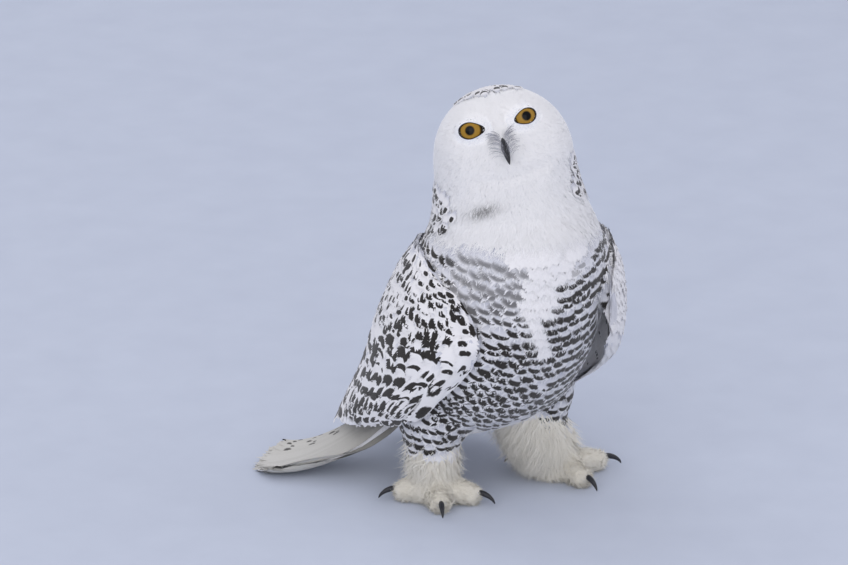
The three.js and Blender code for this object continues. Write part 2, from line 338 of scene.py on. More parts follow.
# ---- Finishes -------------------------------------------------------------------------------
@dataclass(frozen=True)
class FeatherKeratin:
    """Grown feather keratin: thousands of matt white barbs that scatter light.

    It gives the eye a soft, dull white with a faint sheen, a painted cool grey shade towards each
    feather's root where overlying feathers would shade it, fine streaks where the barbs lie side by
    side, and sooty brown marks where the feather grew with pigment. Each feather's own attributes say where its mark
    lies.
    """

    name: str
    white: str = "edebeb"
    # shade is painted shade: the cool grey of the shadow that overlying feathers would cast towards each feather's
    # root
    shade: str = "b9bcc9"
    dark: str = "1f1a16"
    shade_reach: float = 0.55  # how far along the feather the painted root shade reaches
    barb_mm: float = 0.9  # spacing of the streaks; real barbs are finer and wouldn't show
    ragged_mm: float = 5.0  # size of the unevenness along the edge of a mark
    bluntness: float = 2.6  # 2 for an oval mark, more for a squarer one
    roughness: float = 0.8
    bump: float = 0.25

    def build(self) -> Material:
        """Makes the material."""
        material, tree, shader = start_material(self.name)
        known: dict[str, bpy.types.NodeSocket] = {}
        for attribute, names in MARKING.items():
            found = add_node(tree, "Attribute", attribute_name=attribute).outputs["Vector"]
            known.update(zip(names, add_node(tree, "SeparateXYZ", {0: found}).outputs))
        place = add_node(tree, "TexCoord").outputs["Object"]
        unevenness = {"Vector": place, "Scale": 1.0 / (self.ragged_mm * MM), "Detail": 2.0}
        known["noise"] = add_node(tree, "TexNoise", unevenness).outputs["Fac"]
        for name, operation, *values in (
            ("noise_off", "SUBTRACT", "noise", 0.5),
            ("wander", "MULTIPLY", "noise_off", 0.7),
            ("across", "ABSOLUTE", "u"),
            ("u_squared", "MULTIPLY", "u", "u"),
            ("bowed", "MULTIPLY", "bow", "u_squared"),
            ("along", "SUBTRACT", "v", "bowed"),
            # How far along the feather the nearest of the repeated marks is.
            ("half_beat", "MULTIPLY", "beat", 0.5),
            ("from_mark", "SUBTRACT", "along", "centre_v"),
            ("past", "ADD", "from_mark", "half_beat"),
            ("in_beat", "FLOORED_MODULO", "past", "beat"),
            ("near_v", "SUBTRACT", "in_beat", "half_beat"),
            ("gap_v", "ABSOLUTE", "near_v"),
            ("off_v", "DIVIDE", "gap_v", "half_v"),
            ("near_u", "SUBTRACT", "across", "centre_u"),
            ("gap_u", "ABSOLUTE", "near_u"),
            ("off_u", "DIVIDE", "gap_u", "half_u"),
            # A mark is a blunt oval: the distance from its middle, one at its edge.
            ("power_v", "POWER", "off_v", self.bluntness),
            ("power_u", "POWER", "off_u", self.bluntness),
            ("powers", "ADD", "power_v", "power_u"),
            ("blunt", "POWER", "powers", 1 / self.bluntness),
            ("distance", "ADD", "blunt", "wander"),
            ("blur", "MULTIPLY", "soft", 0.9),
            ("edge", "ADD", "blur", 0.12),
            ("outer", "ADD", "edge", 1.0),
            ("inner", "SUBTRACT", 1.0, "edge"),
            ("before_tip", "LESS_THAN", "v", "clear_tip"),
            ("dark", "MULTIPLY", "strength", "before_tip"),
            # The barbs' fine streaks slant forwards from the shaft.
            ("slant", "MULTIPLY", "across", 0.45),
            ("barbs", "SUBTRACT", "v", "slant"),
            ("turns", "MULTIPLY", "barbs", 36.0 * math.tau * 0.9 / self.barb_mm),
            ("streak", "SINE", "turns"),
            ("uneven", "ADD", "streak", "noise"),
            ("grain", "MULTIPLY", "uneven", 0.06),
            ("by_chance", "MULTIPLY", "chance", 0.12),
            ("base_tone", "ADD", "grain", "by_chance"),
        ):
            inputs = {i: known.get(value, value) for i, value in enumerate(values)}
            known[name] = add_node(tree, "Math", inputs, operation=operation).outputs[0]
        edges = {"Value": known["distance"], "From Min": known["outer"], "From Max": known["inner"],
                 "To Min": 0.0, "To Max": known["dark"]}
        mark = add_node(tree, "MapRange", edges, interpolation_type="SMOOTHSTEP").outputs[0]
        # Painted shade: the root shade fades out along the feather and is added to the barbs' grain and each feather's
        # random tone.
        root = {"Value": known["v"], "From Max": self.shade_reach, "To Min": 0.75, "To Max": 0.0}
        tone = add_node(tree, "MapRange", root, interpolation_type="SMOOTHSTEP").outputs[0]
        painted_shade_and_grain = add_node(tree, "Math", {0: tone, 1: known["base_tone"]}).outputs[0]
        tones = {"Factor": painted_shade_and_grain, 6: linear(self.white), 7: linear(self.shade)}
        plain = add_node(tree, "Mix", tones, data_type="RGBA").outputs[2]
        marked = {"Factor": mark, 6: plain, 7: linear(self.dark)}
        colour = add_node(tree, "Mix", marked, data_type="RGBA").outputs[2]
        bump = {"Height": known["streak"], "Strength": self.bump, "Distance": 0.1 * MM}
        relief = add_node(tree, "Bump", bump).outputs[0]
        connect(tree, shader, {"Base Color": colour, "Normal": relief, "Roughness": self.roughness,
                               "Specular IOR Level": 0.2, "Sheen Weight": 0.25, "Sheen Roughness": 0.6})
        return material


@dataclass(frozen=True)
class Grained:
    """A finish of two tones, the second in fine flecks over the first, with the grain's own relief."""

    name: str
    tone: str
    fleck: str
    grain_mm: float
    detail: float = 2.0
    marked_by: str = ""  # the attribute that says where the second tone lies, if not the grain
    relief: float = 0.0
    relief_mm: float = 0.1
    roughness: float = 0.9
    specular: float = 0.5
    coat: float = 0.0
    coat_roughness: float = 0.03

    def build(self) -> Material:
        """Makes the material."""
        material, tree, shader = start_material(self.name)
        place = add_node(tree, "TexCoord").outputs["Object"]
        fine = {"Vector": place, "Scale": 1.0 / (self.grain_mm * MM), "Detail": self.detail}
        mark = grain = add_node(tree, "TexNoise", fine).outputs["Fac"]
        if self.marked_by:
            mark = add_node(tree, "Attribute", attribute_name=self.marked_by).outputs["Fac"]
        tones = {"Factor": mark, 6: linear(self.tone), 7: linear(self.fleck)}
        colour = add_node(tree, "Mix", tones, data_type="RGBA").outputs[2]
        connect(tree, shader, {"Base Color": colour, "Roughness": self.roughness,
                               "Specular IOR Level": self.specular, "Coat Weight": self.coat,
                               "Coat Roughness": self.coat_roughness})
        if self.relief:
            bump = {"Height": grain, "Strength": self.relief, "Distance": self.relief_mm * MM}
            connect(tree, shader, {"Normal": add_node(tree, "Bump", bump).outputs[0]})
        return material


@dataclass(frozen=True)
class HornKeratin(Grained):
    """Horn of bill and claws: layered keratin, worn smooth by use.

    It gives the eye a blackish slate with faint paler streaks and a soft gloss along the curve.
    """

    tone: str = "17171a"
    fleck: str = "35353d"
    grain_mm: float = 2.0
    detail: float = 4.0
    relief: float = 0.2
    roughness: float = 0.42
    specular: float = 0.3
    coat: float = 0.12
    coat_roughness: float = 0.2


@dataclass(frozen=True)
class DownySkin(Grained):
    """Skin under short white down: soft, dull and a little cooler than the feathers over it.

    It gives the eye a quiet ground in the gaps of the coat, with the coat's own dark marks.
    """

    name: str = "downy_skin"
    tone: str = "ececef"
    fleck: str = "3a342f"
    grain_mm: float = 1.6
    marked_by: str = "darkness"
    relief: float = 0.5
    relief_mm: float = 0.4
    roughness: float = 0.85
    specular: float = 0.2


@dataclass(frozen=True)
class LidSkin(Grained):
    """Bare skin along the rim of the eyelids: thin, black and slightly moist.

    It gives the eye a fine dark line round the gold, with no gloss of its own.
    """

    name: str = "lid_skin"
    tone: str = "0c0b0b"
    fleck: str = "241d19"
    grain_mm: float = 10 / 9
    roughness: float = 0.6
    specular: float = 0.25


@dataclass(frozen=True)
class MattGround(Grained):
    """A matt painted studio floor, rolled on in one tone: it gives a pale, cool, faintly mottled ground."""

    name: str = "matt_ground"
    tone: str = "bac1d0"
    fleck: str = "c4cbd9"
    grain_mm: float = 60.0
    detail: float = 3.0


@dataclass(frozen=True)
class WetEye:
    """A living eye: a golden iris behind a wet, clear cornea.

    It gives the eye a deep amber ring with fine spokes, darker at its rim and round the black
    pupil, under one sharp wet highlight. The eyeball's attribute "gaze" holds the distance from
    the middle of the pupil and the angle round it.
    """

    name: str = "wet_eye"
    gold: str = "ab8332"
    amber: str = "4f3b15"
    black: str = "050505"
    pupil_mm: float = 4.3
    iris_mm: float = 10.7

    def build(self) -> Material:
        """Makes the material."""
        material, tree, shader = start_material(self.name)
        gaze = add_node(tree, "Attribute", attribute_name="gaze").outputs["Vector"]
        from_middle = add_node(tree, "SeparateXYZ", {0: gaze}).outputs[0]
        fine = {"Vector": gaze, "Scale": 2.2, "Detail": 3.0}
        spokes = add_node(tree, "TexNoise", fine).outputs["Fac"]
        width = {"Value": from_middle, "From Min": self.pupil_mm, "From Max": self.iris_mm}
        ring = add_node(tree, "ValToRGB", {"Fac": add_node(tree, "MapRange", width).outputs[0]})
        ring.color_ramp.elements[0].color = linear(self.amber)
        ring.color_ramp.elements[1].color = linear(self.black)
        for position, tone in ((0.18, self.gold), (0.74, self.gold), (0.9, self.amber)):
            ring.color_ramp.elements.new(position).color = linear(tone)
        faint = add_node(tree, "Math", {0: spokes, 1: 0.45}, operation="MULTIPLY").outputs[0]
        spoked = {"Factor": faint, 6: ring.outputs[0], 7: linear(self.amber)}
        iris = add_node(tree, "Mix", spoked, data_type="RGBA").outputs[2]
        edge = {"Value": from_middle, "From Min": self.pupil_mm - 0.4, "From Max": self.pupil_mm + 0.2}
        outside = add_node(tree, "MapRange", edge).outputs[0]
        whole = {"Factor": outside, 6: linear(self.black), 7: iris}
        colour = add_node(tree, "Mix", whole, data_type="RGBA").outputs[2]
        connect(tree, shader, {"Base Color": colour, "Roughness": 0.5, "Specular IOR Level": 0.0,
                               "Coat Weight": 0.6, "Coat IOR": 1.34, "Coat Roughness": 0.03})
        return material


# ---- Surface --------------------------------------------------------------------------------
class Rows:
    """Arrays that hold a row for each feather of a set: the base of the dataclasses below."""

    def __len__(self) -> int:
        """How many feathers there are."""
        return len(getattr(self, fields(self)[0].name))

    def only(self, chosen: Array) -> Self:
        """The chosen feathers' rows alone."""
        return type(self)(*(getattr(self, f.name)[chosen] for f in fields(self)))


@dataclass
class Sites(Rows):
    """Places on the coat's outer surface where feathers are laid."""

    point: Array
    normal: Array
    flow: Array
    uv: Array


class Surface:
    """The owl's outer surface, out to the tips of its coat, as one smooth mesh of quads."""

    def __init__(self, voxel: float = 2.5, smoothing: int = 12) -> None:
        """Joins all the frame's nodes into one closed surface and smooths it.

        Args:
            voxel: the size of the surface's faces.
            smoothing: how many times each point moves towards its neighbours.
        """
        self.names = sorted(frame["nodes"])
        joined = bmesh.new()
        owners: list[int] = []
        for i, name in enumerate(self.names):
            mesh = frame["nodes"][name].data
            joined.from_mesh(mesh)
            owners += [i] * len(mesh.polygons)
        whole = bpy.data.meshes.new("whole")
        joined.to_mesh(whole)
        joined.free()
        carrier = bpy.data.objects.new("whole", whole)
        bpy.context.scene.collection.objects.link(carrier)
        remesh = carrier.modifiers.new("remesh", "REMESH")
        remesh.mode = "VOXEL"
        remesh.voxel_size = voxel * MM
        graph = bpy.context.evaluated_depsgraph_get()
        fine = bpy.data.meshes.new_from_object(carrier.evaluated_get(graph))
        self.point, self.quad = mesh_arrays(fine, 4)

        nodes = tree_of(*mesh_arrays(whole, 3))
        found = [nodes.find_nearest(Vector(p))[2] for p in self.point.tolist()]
        self.owner = np.array(owners)[np.array(found)]
        bpy.data.objects.remove(carrier)
        bpy.data.meshes.remove(whole)

        edges = np.concatenate([self.quad[:, [i, (i + 1) % 4]] for i in range(4)])
        self.edge = np.unique(np.sort(edges, axis=1), axis=0)
        self.valence = np.bincount(self.edge.ravel(), minlength=len(self.point)).astype(float)
        for _ in range(smoothing):
            self.point += 0.5 * (self.neighbours_mean(self.point) - self.point)
        self.normal = self.smooth_normals(self.point)
        self.flow = np.zeros_like(self.point)
        self.uv = self.unwrapped(fine)
        bpy.data.meshes.remove(fine)
        self.tree = tree_of(self.point, self.quad)

    def neighbours_mean(self, values: Array) -> Array:
        """The mean of each point's neighbours, where values holds a row of numbers for each point."""
        here, there = self.edge.ravel(), self.edge[:, ::-1].ravel()
        sums = [np.bincount(here, values[there, i], len(values)) for i in range(values.shape[1])]
        return np.stack(sums, 1) / self.valence[:, None]

    def smooth_normals(self, point: Array) -> Array:
        """The unit direction out of the surface at each of its points, wherever they are moved to."""
        corner = point[self.quad]
        facing = np.cross(corner[:, 2] - corner[:, 0], corner[:, 3] - corner[:, 1]).repeat(4, axis=0)
        sums = [np.bincount(self.quad.ravel(), facing[:, i], len(point)) for i in range(3)]
        return unit(np.stack(sums, 1))

    def unwrapped(self, mesh: Mesh) -> Array:
        """Unwraps the surface.

        Args:
            mesh: the surface's own mesh.

        Returns:
            The place on the unwrapped map of each corner of each quad.
        """
        carrier = bpy.data.objects.new("unwrap", mesh)
        bpy.context.scene.collection.objects.link(carrier)
        bpy.context.view_layer.objects.active = carrier
        carrier.select_set(True)
        bpy.ops.object.mode_set(mode="EDIT")
        bpy.ops.mesh.select_all(action="SELECT")
        bpy.ops.uv.smart_project(angle_limit=math.radians(66), island_margin=0.002)
        bpy.ops.object.mode_set(mode="OBJECT")
        uv = np.empty(len(mesh.loops) * 2)
        mesh.uv_layers.active.uv.foreach_get("vector", uv)
        bpy.data.objects.remove(carrier)
        return uv.reshape(-1, 4, 2)

    def owned_by(self, *beginnings: str) -> Array:
        """Which points belong to the nodes whose names begin with one of these words."""
        wanted = [i for i, name in enumerate(self.names) if name.startswith(beginnings)]
        return np.isin(self.owner, wanted)

    def lay(self, flow: Array, smoothing: int = 40) -> None:
        """Sets which way the coat lies.

        Args:
            flow: a rough direction for each point.
            smoothing: how many times each direction moves towards its neighbours'.
        """
        for _ in range(smoothing):
            flow = unit(flow - dot(flow, self.normal) * self.normal)
            flow = 0.4 * flow + 0.6 * self.neighbours_mean(flow)
        self.flow = unit(flow - dot(flow, self.normal) * self.normal)

    def scattered(self, chance: Array) -> Sites:
        """Spreads places evenly over the surface.

        Args:
            chance: for each point, how many places each quad round it holds on average.

        Returns:
            The places.
        """
        wanted = chance[self.quad].mean(1)
        count = np.floor(wanted + DICE.random(len(wanted))).astype(int)
        face = np.repeat(np.arange(len(self.quad)), count)
        a, b = DICE.random((2, len(face), 1))
        weights = np.stack([(1 - a) * (1 - b), a * (1 - b), a * b, (1 - a) * b], 1)
        return self.sites_at(face, weights)

    def sites_at(self, face: Array, weights: Array) -> Sites:
        """The places at given quads.

        Args:
            face: the number of each place's quad.
            weights: how near it is to each of the quad's four corners.

        Returns:
            The places.
        """
        corner = self.quad[face]
        return Sites(
            (self.point[corner] * weights).sum(1),
            unit((self.normal[corner] * weights).sum(1)),
            unit((self.flow[corner] * weights).sum(1)),
            (self.uv[face] * weights).sum(1),
        )

    def nearest(self, points: Array) -> tuple[Array, Array, Array]:
        """Drops points onto the surface.

        Args:
            points: any places near the surface.

        Returns:
            The nearest places on the surface, its direction out of it there, and its quads.
        """
        found = [self.tree.find_nearest(Vector(p)) for p in points.tolist()]
        face = np.array([f[2] for f in found])
        place = np.array([f[0][:] for f in found])
        corner = self.quad[face]
        gap = np.linalg.norm(self.point[corner] - place[:, None], axis=2)
        weights = 1.0 / (gap**2 + 0.05)
        weights = (weights / weights.sum(1, keepdims=True))[..., None]
        return place, unit((self.normal[corner] * weights).sum(1)), face

    def sites_near(self, points: Array) -> Sites:
        """The surface's places nearest to some points."""
        place, normal, face = self.nearest(points)
        return replace(self.sites_at(face, np.full((len(face), 4, 1), 0.25)), point=place, normal=normal)


# ---- Coat -----------------------------------------------------------------------------------
@dataclass
class Marks(Rows):
    """Where the dark mark lies on each feather of a set, in the feather's own coordinates."""

    centre_v: Array  # where along the feather it lies
    half_v: Array  # half its size along the feather
    centre_u: Array  # how far to either side of the shaft it lies
    half_u: Array  # half its size across the feather
    strength: Array  # how dark it is, from 0 to 1
    bow: Array  # how far its ends lie ahead of its middle
    beat: Array  # how far apart it is repeated along the feather
    clear_tip: Array  # where along the feather the marks end
    soft: Array  # how blurred its edge is, from 0 to 1

    @classmethod
    def of(cls, count: int, unevenness: float = 0.15, **given: float | Array) -> Self:
        """Marks of one kind, each a little different.

        Args:
            count: how many feathers there are.
            unevenness: how much the feathers differ.
            given: values, or a value for each feather, other than the usual ones.

        Returns:
            The marks.
        """
        usual = {"centre_v": 0.8, "half_v": 0.07, "centre_u": 0.0, "half_u": 0.85, "strength": 1.0,
                 "bow": 0.0, "beat": 9.0, "clear_tip": 2.0, "soft": 0.0}
        differ = {"centre_v": 0.25, "half_v": 1.6, "half_u": 1.0, "bow": 1.0}
        made = {}
        for name, value in (usual | given).items():
            spread = unevenness * differ.get(name, 0.0) * DICE.uniform(-1, 1, count)
            made[name] = value * (1 + spread)
        return cls(**made)

    def darkness(self, u: Array, v: Array) -> Array:
        """How dark each feather is.

        Args:
            u: places across the feathers.
            v: places along them.

        Returns:
            Numbers from 0 to 1, by feather and place.
        """
        m = self.only(np.s_[:, None])
        along = v - m.bow * u**2 - m.centre_v
        near = np.abs((along + m.beat / 2) % m.beat - m.beat / 2)
        off = np.hypot(near / m.half_v, (np.abs(u) - m.centre_u) / m.half_u)
        return m.strength * ramp(off, 1.15, 0.85) * (v < m.clear_tip)

    def attributes(self) -> dict[str, Array]:
        """The marks as the attributes that the feather's finish reads."""
        named = {attribute: names for attribute, names in MARKING.items() if attribute != "vane"}
        return {a: np.stack([getattr(self, n) for n in names], 1) for a, names in named.items()}


COAT_SHADES: list[Array] = []  # places on the coat and how dark it is there, piece by piece


class CoatPiece:
    """A joined mesh of many feathers, gathered as arrays and written at the end."""

    def __init__(self, name: str) -> None:
        """Starts an empty piece with this name."""
        self.name = name
        self.parts: dict[str, list[Array]] = defaultdict(list)
        self.count = 0

    def add(self, point: Array, normal: Array, shape: "Shape", root_uv: Array, marks: Marks) -> None:
        """Adds a set of feathers of one shape.

        Args:
            point: each feather's points.
            normal: the direction that each point is lit by.
            shape: the shape that they share.
            root_uv: each feather's place on the unwrapped skin.
            marks: each feather's mark.
        """
        number, size = point.shape[:2]
        if not number:
            return
        first = self.count + size * np.arange(number)[:, None, None]
        u, v, chance = np.broadcast_arrays(shape.u, shape.v, DICE.random((number, 1)))
        outer = np.flatnonzero(shape.v > 0.35)[::3]
        dark = marks.darkness(shape.u[None, outer], shape.v[None, outer])
        new = {
            "point": point,
            "normal": normal,
            "face": shape.face + first,
            "vane": np.stack([u, v, chance], 2),
            "uv": root_uv[:, None] + PATCH * np.stack([u * 0.5, v - 0.5], 2),
            "shade": np.concatenate([point[:, outer], dark[..., None]], 2),
        }
        new |= {name: np.repeat(value, size, axis=0) for name, value in marks.attributes().items()}
        for name, rows in new.items():
            self.parts[name].append(rows.reshape(-1, rows.shape[-1]))
        self.count += number * size

    def write(self, finish: Material, slot: str = "plumage") -> None:
        """Writes the piece's mesh.

        Args:
            finish: its material.
            slot: the record's material slot.
        """
        whole = {name: np.concatenate(rows) for name, rows in self.parts.items()}
        mesh = new_mesh(self.name, whole["point"], whole["face"])
        for name in MARKING:
            add_vectors(mesh, name, whole[name])
        uv = np.clip(whole["uv"][whole["face"].ravel()], 0.0, 1.0)
        mesh.uv_layers.new(name=BAKE_MAP).uv.foreach_set("vector", uv.astype(np.float32).ravel())
        mesh.shade_smooth()
        mesh.normals_split_custom_set_from_vertices(unit(whole["normal"]).tolist())
        place_piece(mesh, slot, [finish])
        COAT_SHADES.append(whole["shade"])


def add_vectors(mesh: Mesh, name: str, vectors: Array) -> None:
    """Gives each of a mesh's points a vector, under a name for its finish to read."""
    data = mesh.attributes.new(name, "FLOAT_VECTOR", "POINT").data
    data.foreach_set("vector", vectors.astype(np.float32).ravel())


def new_mesh(name: str, point: Array, face: Array) -> Mesh:
    """Writes a mesh from arrays.

    Args:
        name: the mesh's name.
        point: its points in millimetres.
        face: its faces, all with the same number of corners.

    Returns:
        The mesh, in metres.
    """
    mesh = bpy.data.meshes.new(name)
    corners = face.shape[1]
    mesh.vertices.add(len(point))
    mesh.vertices.foreach_set("co", (point * MM).astype(np.float32).ravel())
    mesh.loops.add(face.size)
    mesh.loops.foreach_set("vertex_index", face.astype(np.int32).ravel())
    mesh.polygons.add(len(face))
    mesh.polygons.foreach_set("loop_start", np.arange(0, face.size, corners, dtype=np.int32))
    mesh.update(calc_edges=True)
    return mesh


def place_piece(
    mesh: Mesh, slot: str, finishes: list[Material], stands_for: list[str] | None = None
) -> bpy.types.Object:
    """Puts a mesh into the scene as a piece of the owl.

    Args:
        mesh: the piece's mesh.
        slot: the record's material slot.
        finishes: its materials.
        stands_for: the frame's nodes that it replaces.

    Returns:
        The new object.
    """
    for finish in finishes:
        mesh.materials.append(finish)
    piece = bpy.data.objects.new(mesh.name, mesh)
    bpy.context.scene.collection.objects.link(piece)
    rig.ride(piece, BODY)
    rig.slot(piece, slot)
    if stands_for:
        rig.replaces(piece, *stands_for)
    log.info("%s: %d faces", mesh.name, len(mesh.polygons))
    return piece


@dataclass
class Shape:
    """One feather's outline: its points in feather coordinates, their height over it and its faces."""

    u: Array
    v: Array
    height: Array
    face: Array

    @classmethod
    def strip(cls, u: Array, v: Array, height: Array, half_u: Array | float, half_v: Array | float) -> Self:
        """A narrow strip along a line, pointed at its end.

        Args:
            u: the line's own place across the feather.
            v: its place along the feather.
            height: its height over the feather.
            half_u: half its width across the feather, at each point but the last.
            half_v: half its width along the feather, likewise.

        Returns:
            The strip.
        """
        edges = ((u, half_u), (v, half_v), (height, 0.0))
        sides = [np.append(np.stack([a[:-1] - b, a[:-1] + b], 1), a[-1]) for a, b in edges]
        last = 2 * len(u) - 2
        face = np.array([[0, 1, 3], [0, 3, 2]]) + np.arange(0, last - 2, 2)[:, None, None]
        return cls(*sides, np.append(face.reshape(-1, 3), [[last - 2, last - 1, last]], axis=0))

    @classmethod
    def joined(cls, parts: list[Self]) -> Self:
        """Several shapes as one."""
        first = np.cumsum([0] + [len(part.u) for part in parts[:-1]])
        face = np.concatenate([part.face + start for part, start in zip(parts, first)])
        lines = [np.concatenate([getattr(p, name) for p in parts]) for name in ("u", "v", "height")]
        return cls(*lines, face)


def hair_shape(segments: int = 3) -> Shape:
    """One soft tuft: a strip along the feather's middle that narrows to a point."""
    v = np.linspace(0.0, 1.0, segments + 1)
    half = (1.0 - v[:-1] ** 1.6) * 0.5 + 0.5 * (v[:-1] < 0.5)
    return Shape.strip(0 * v, v, 0 * v, half, 0.0)


@dataclass(frozen=True)
class Vane:
    """How one kind of contour or flight feather is built."""

    widest: float = 0.62  # where along it the vane is widest
    roundness: float = 2.2  # how blunt its tip is
    base: float = 0.45  # its width at the root, as a share of the widest
    rows: int = 7
    columns: int = 4
    barbs: int = 10  # locks of barbs on each side
    barb_reach: float = 0.2  # how far along the feather each lock slants
    barb_height: float = 0.35
    fray: float = 0.07
    camber: float = 0.6  # how far the shaft stands over the edges
    solid: float = 0.86  # how far out the closed part of the vane reaches

    def width(self, v: Array) -> Array:
        """The vane's half width along it, as a share of the widest."""
        low = self.base + (1 - self.base) * ramp(v, 0.0, self.widest)
        past = np.clip((v - self.widest) / (1 - self.widest), 0.0, 1.0)
        return low * np.maximum(0.0, 1 - past**self.roundness) ** (1 / self.roundness)

    def shape(self) -> Shape:
        """Builds the feather: a closed vane with locks of barbs over it that fray at its edge."""
        v = 1 - (1 - np.linspace(0.0, 0.985, self.rows + 1)) ** 1.15
        u = np.linspace(-1.0, 1.0, self.columns + 1)
        grid_u = self.solid * u[None] * self.width(v)[:, None]
        grid_v = np.repeat(v[:, None], self.columns + 1, 1) * (0.5 + 0.5 * self.solid)
        grid_h = self.camber * (1 - u[None] ** 2) * np.ones_like(grid_v)
        wide = self.columns + 1
        corner = (np.arange(self.rows)[:, None] * wide + np.arange(self.columns)[None]).ravel()
        first = np.stack([corner, corner + 1, corner + wide + 1], 1)
        second = np.stack([corner, corner + wide + 1, corner + wide], 1)
        parts = [Shape(grid_u.ravel(), grid_v.ravel(), grid_h.ravel(), np.concatenate([first, second]))]
        steps = np.array([0.0, 0.4, 0.75, 1.0])
        for side in (-1, 1):
            for i in range(self.barbs):
                start = 0.1 + 0.78 * (i + 0.5 * (side > 0)) / self.barbs
                reach = self.barb_reach * (1 + 0.4 * (DICE.random() - 0.5))
                reach = min(reach, 1.0 + self.fray * DICE.random() - start)
                bv = start + reach * steps**1.3
                edge = np.maximum(self.width(np.minimum(bv, 0.97)), 0.16)
                spread = 1.0 + self.fray * (0.4 + DICE.random()) * steps
                bu = side * edge * steps * spread
                over = self.barb_height * min(1.0, reach / self.barb_reach)
                bh = self.camber * (1 - steps**2) + over * (0.5 + np.sin(np.pi * steps))
                half = np.array([0.05, 0.075, 0.055]) * (10.0 / self.barbs) ** 0.5
                lock = Shape.strip(bu, bv, bh, 0.0, half)
                if side > 0:
                    lock.face = lock.face[:, ::-1]
                parts.append(lock)
        return Shape.joined(parts)


@dataclass
class Drape(Rows):
    """Feathers' control grids: four rows along each feather and three columns across it."""

    point: Array  # control points, by feather, row and column
    normal: Array  # the direction out of the body at each of them
    uv: Array  # each feather's place on the unwrapped skin

    @classmethod
    def over(cls, surface: Surface, sites: Sites, length: Array, half_width: Array) -> "Drape":
        """Lays feathers over the surface, each along its flow from its root.

        Args:
            surface: the owl's outer surface.
            sites: the feathers' roots.
            length: each one's length.
            half_width: half each one's width.

        Returns:
            The control grids.
        """
        here = sites
        centre, ahead = [sites.point], [sites.flow]
        for _ in range(3):
            here = surface.sites_near(here.point + ahead[-1] * (length / 3)[:, None])
            centre.append(here.point)
            blended = 0.5 * ahead[-1] + 0.5 * here.flow
            ahead.append(unit(blended - dot(blended, here.normal) * here.normal))
        grid, facing = [], []
        for place, along in zip(centre, ahead):
            _, normal, _ = surface.nearest(place)
            across = unit(np.cross(along, normal)) * half_width[:, None]
            found = [surface.nearest(place + side * across) for side in (-1, 0, 1)]
            grid.append(np.stack([f[0] for f in found], 1))
            facing.append(np.stack([f[1] for f in found], 1))
        return cls(np.stack(grid, 1), np.stack(facing, 1), sites.uv)

    def smooth(self, least: float) -> Array:
        """Which feathers lie flat, with every normal close to that of the middle of the root end."""
        return (self.normal * self.normal[:, 1:2, 1:2]).sum(-1).min((1, 2)) > least

    def points(
        self, shape: Shape, depth: Array, lift: float, tilt: Array, smooth: float
    ) -> tuple[Array, Array]:
        """Bends a shape onto every grid.

        Args:
            shape: the feather's shape.
            depth: how deep each root lies under the outer surface.
            lift: how far the tips stand over it.
            tilt: how far one edge of each feather stands over the other.
            smooth: how much the lighting follows the body rather than the feather.

        Returns:
            Each feather's points, and the directions that they are lit by.
        """
        v = shape.v
        nodes = np.array([0.0, 1 / 3, 2 / 3, 1.0])
        rows = np.ones((len(v), 4))
        for j in range(4):
            for k in range(4):
                if k != j:
                    rows[:, j] *= (v - nodes[k]) / (nodes[j] - nodes[k])
        u = shape.u
        columns = np.stack([u * (u - 1) / 2, 1 - u * u, u * (u + 1) / 2], 1)
        weights = rows[:, :, None] * columns[:, None, :]
        point = np.einsum("kji,njic->nkc", weights, self.point)
        normal = unit(np.einsum("kji,njic->nkc", weights, self.normal))
        rise = -depth[:, None] * np.maximum(1 - v[None], 0.0) ** 1.2 + lift * v[None] ** 2
        rise = rise + shape.height[None] + tilt[:, None] * u[None]
        point = point + normal * rise[..., None]
        ahead = unit(self.point[:, 3, 1] - self.point[:, 0, 1])
        across = unit(np.cross(ahead, self.normal[:, 1, 1]))
        own = unit(normal - across[:, None] * (tilt[:, None] * 0.15 - 0.25 * u[None])[..., None])
        return point, unit(smooth * normal + (1 - smooth) * own)


@dataclass(frozen=True)
class Kind:
    """One kind of feather: how it is built, its size and how it lies on the body."""

    vane: Vane
    length: float
    width: float
    depth: float = 3.5  # how deep its root lies under the outer surface
    lift: float = 0.6  # how far its tip stands over it
    tilt: float = 0.5  # how far one edge rides over the next feather
    smooth: float = 0.5
    builds: int = 4  # how many differently frayed copies there are
    vary: float = 0.1  # how much their lengths differ

    def sizes(self, count: int) -> tuple[Array, Array]:
        """Lengths and half widths for some feathers, each a little different."""
        length = self.length * DICE.uniform(1 - self.vary, 1 + self.vary, count)
        return length, 0.5 * self.width * DICE.uniform(0.9, 1.1, count)

    def lay(self, piece: CoatPiece, drape: Drape, marks: Marks, over: float = 0.0) -> None:
        """Adds feathers to a piece.

        Args:
            piece: the piece that they go into.
            drape: where each one lies.
            marks: each one's mark.
            over: how far they lie over the sets under them.
        """
        chosen_build = DICE.integers(self.builds, size=len(drape))
        tilt = self.tilt * DICE.uniform(0.5, 1.5, len(drape))
        for i in range(self.builds):
            chosen = chosen_build == i
            if not chosen.any():
                continue
            shape, part = self.vane.shape(), drape.only(chosen)
            depth = np.full(len(part), self.depth - over)
            point, lit = part.points(shape, depth, self.lift + over, tilt[chosen], self.smooth)
            point[..., 2] = np.maximum(point[..., 2], 0.3)
            piece.add(point, lit, shape, part.uv, marks.only(chosen))

    def scatter(
        self, piece: CoatPiece, owl: "Owl", chance: Array, least: float,
        marks: Callable[[Sites], Given], over: float = 0.0,
    ) -> None:
        """Adds feathers that are scattered over the owl's surface.

        Args:
            piece: the piece that they go into.
            owl: the owl.
            chance: how many each quad of the surface holds, at each of its points.
            least: how flat they have to lie, as Drape.smooth takes it.
            marks: a function from their places to their marks.
            over: how far they lie over the sets under them.
        """
        sites = owl.surface.scattered(chance)
        length, half = self.sizes(len(sites))
        made = Marks.of(len(sites), **marks(sites))
        drape = Drape.over(owl.surface, sites, length, half)
        flat = drape.smooth(least)
        self.lay(piece, drape.only(flat), made.only(flat), over)


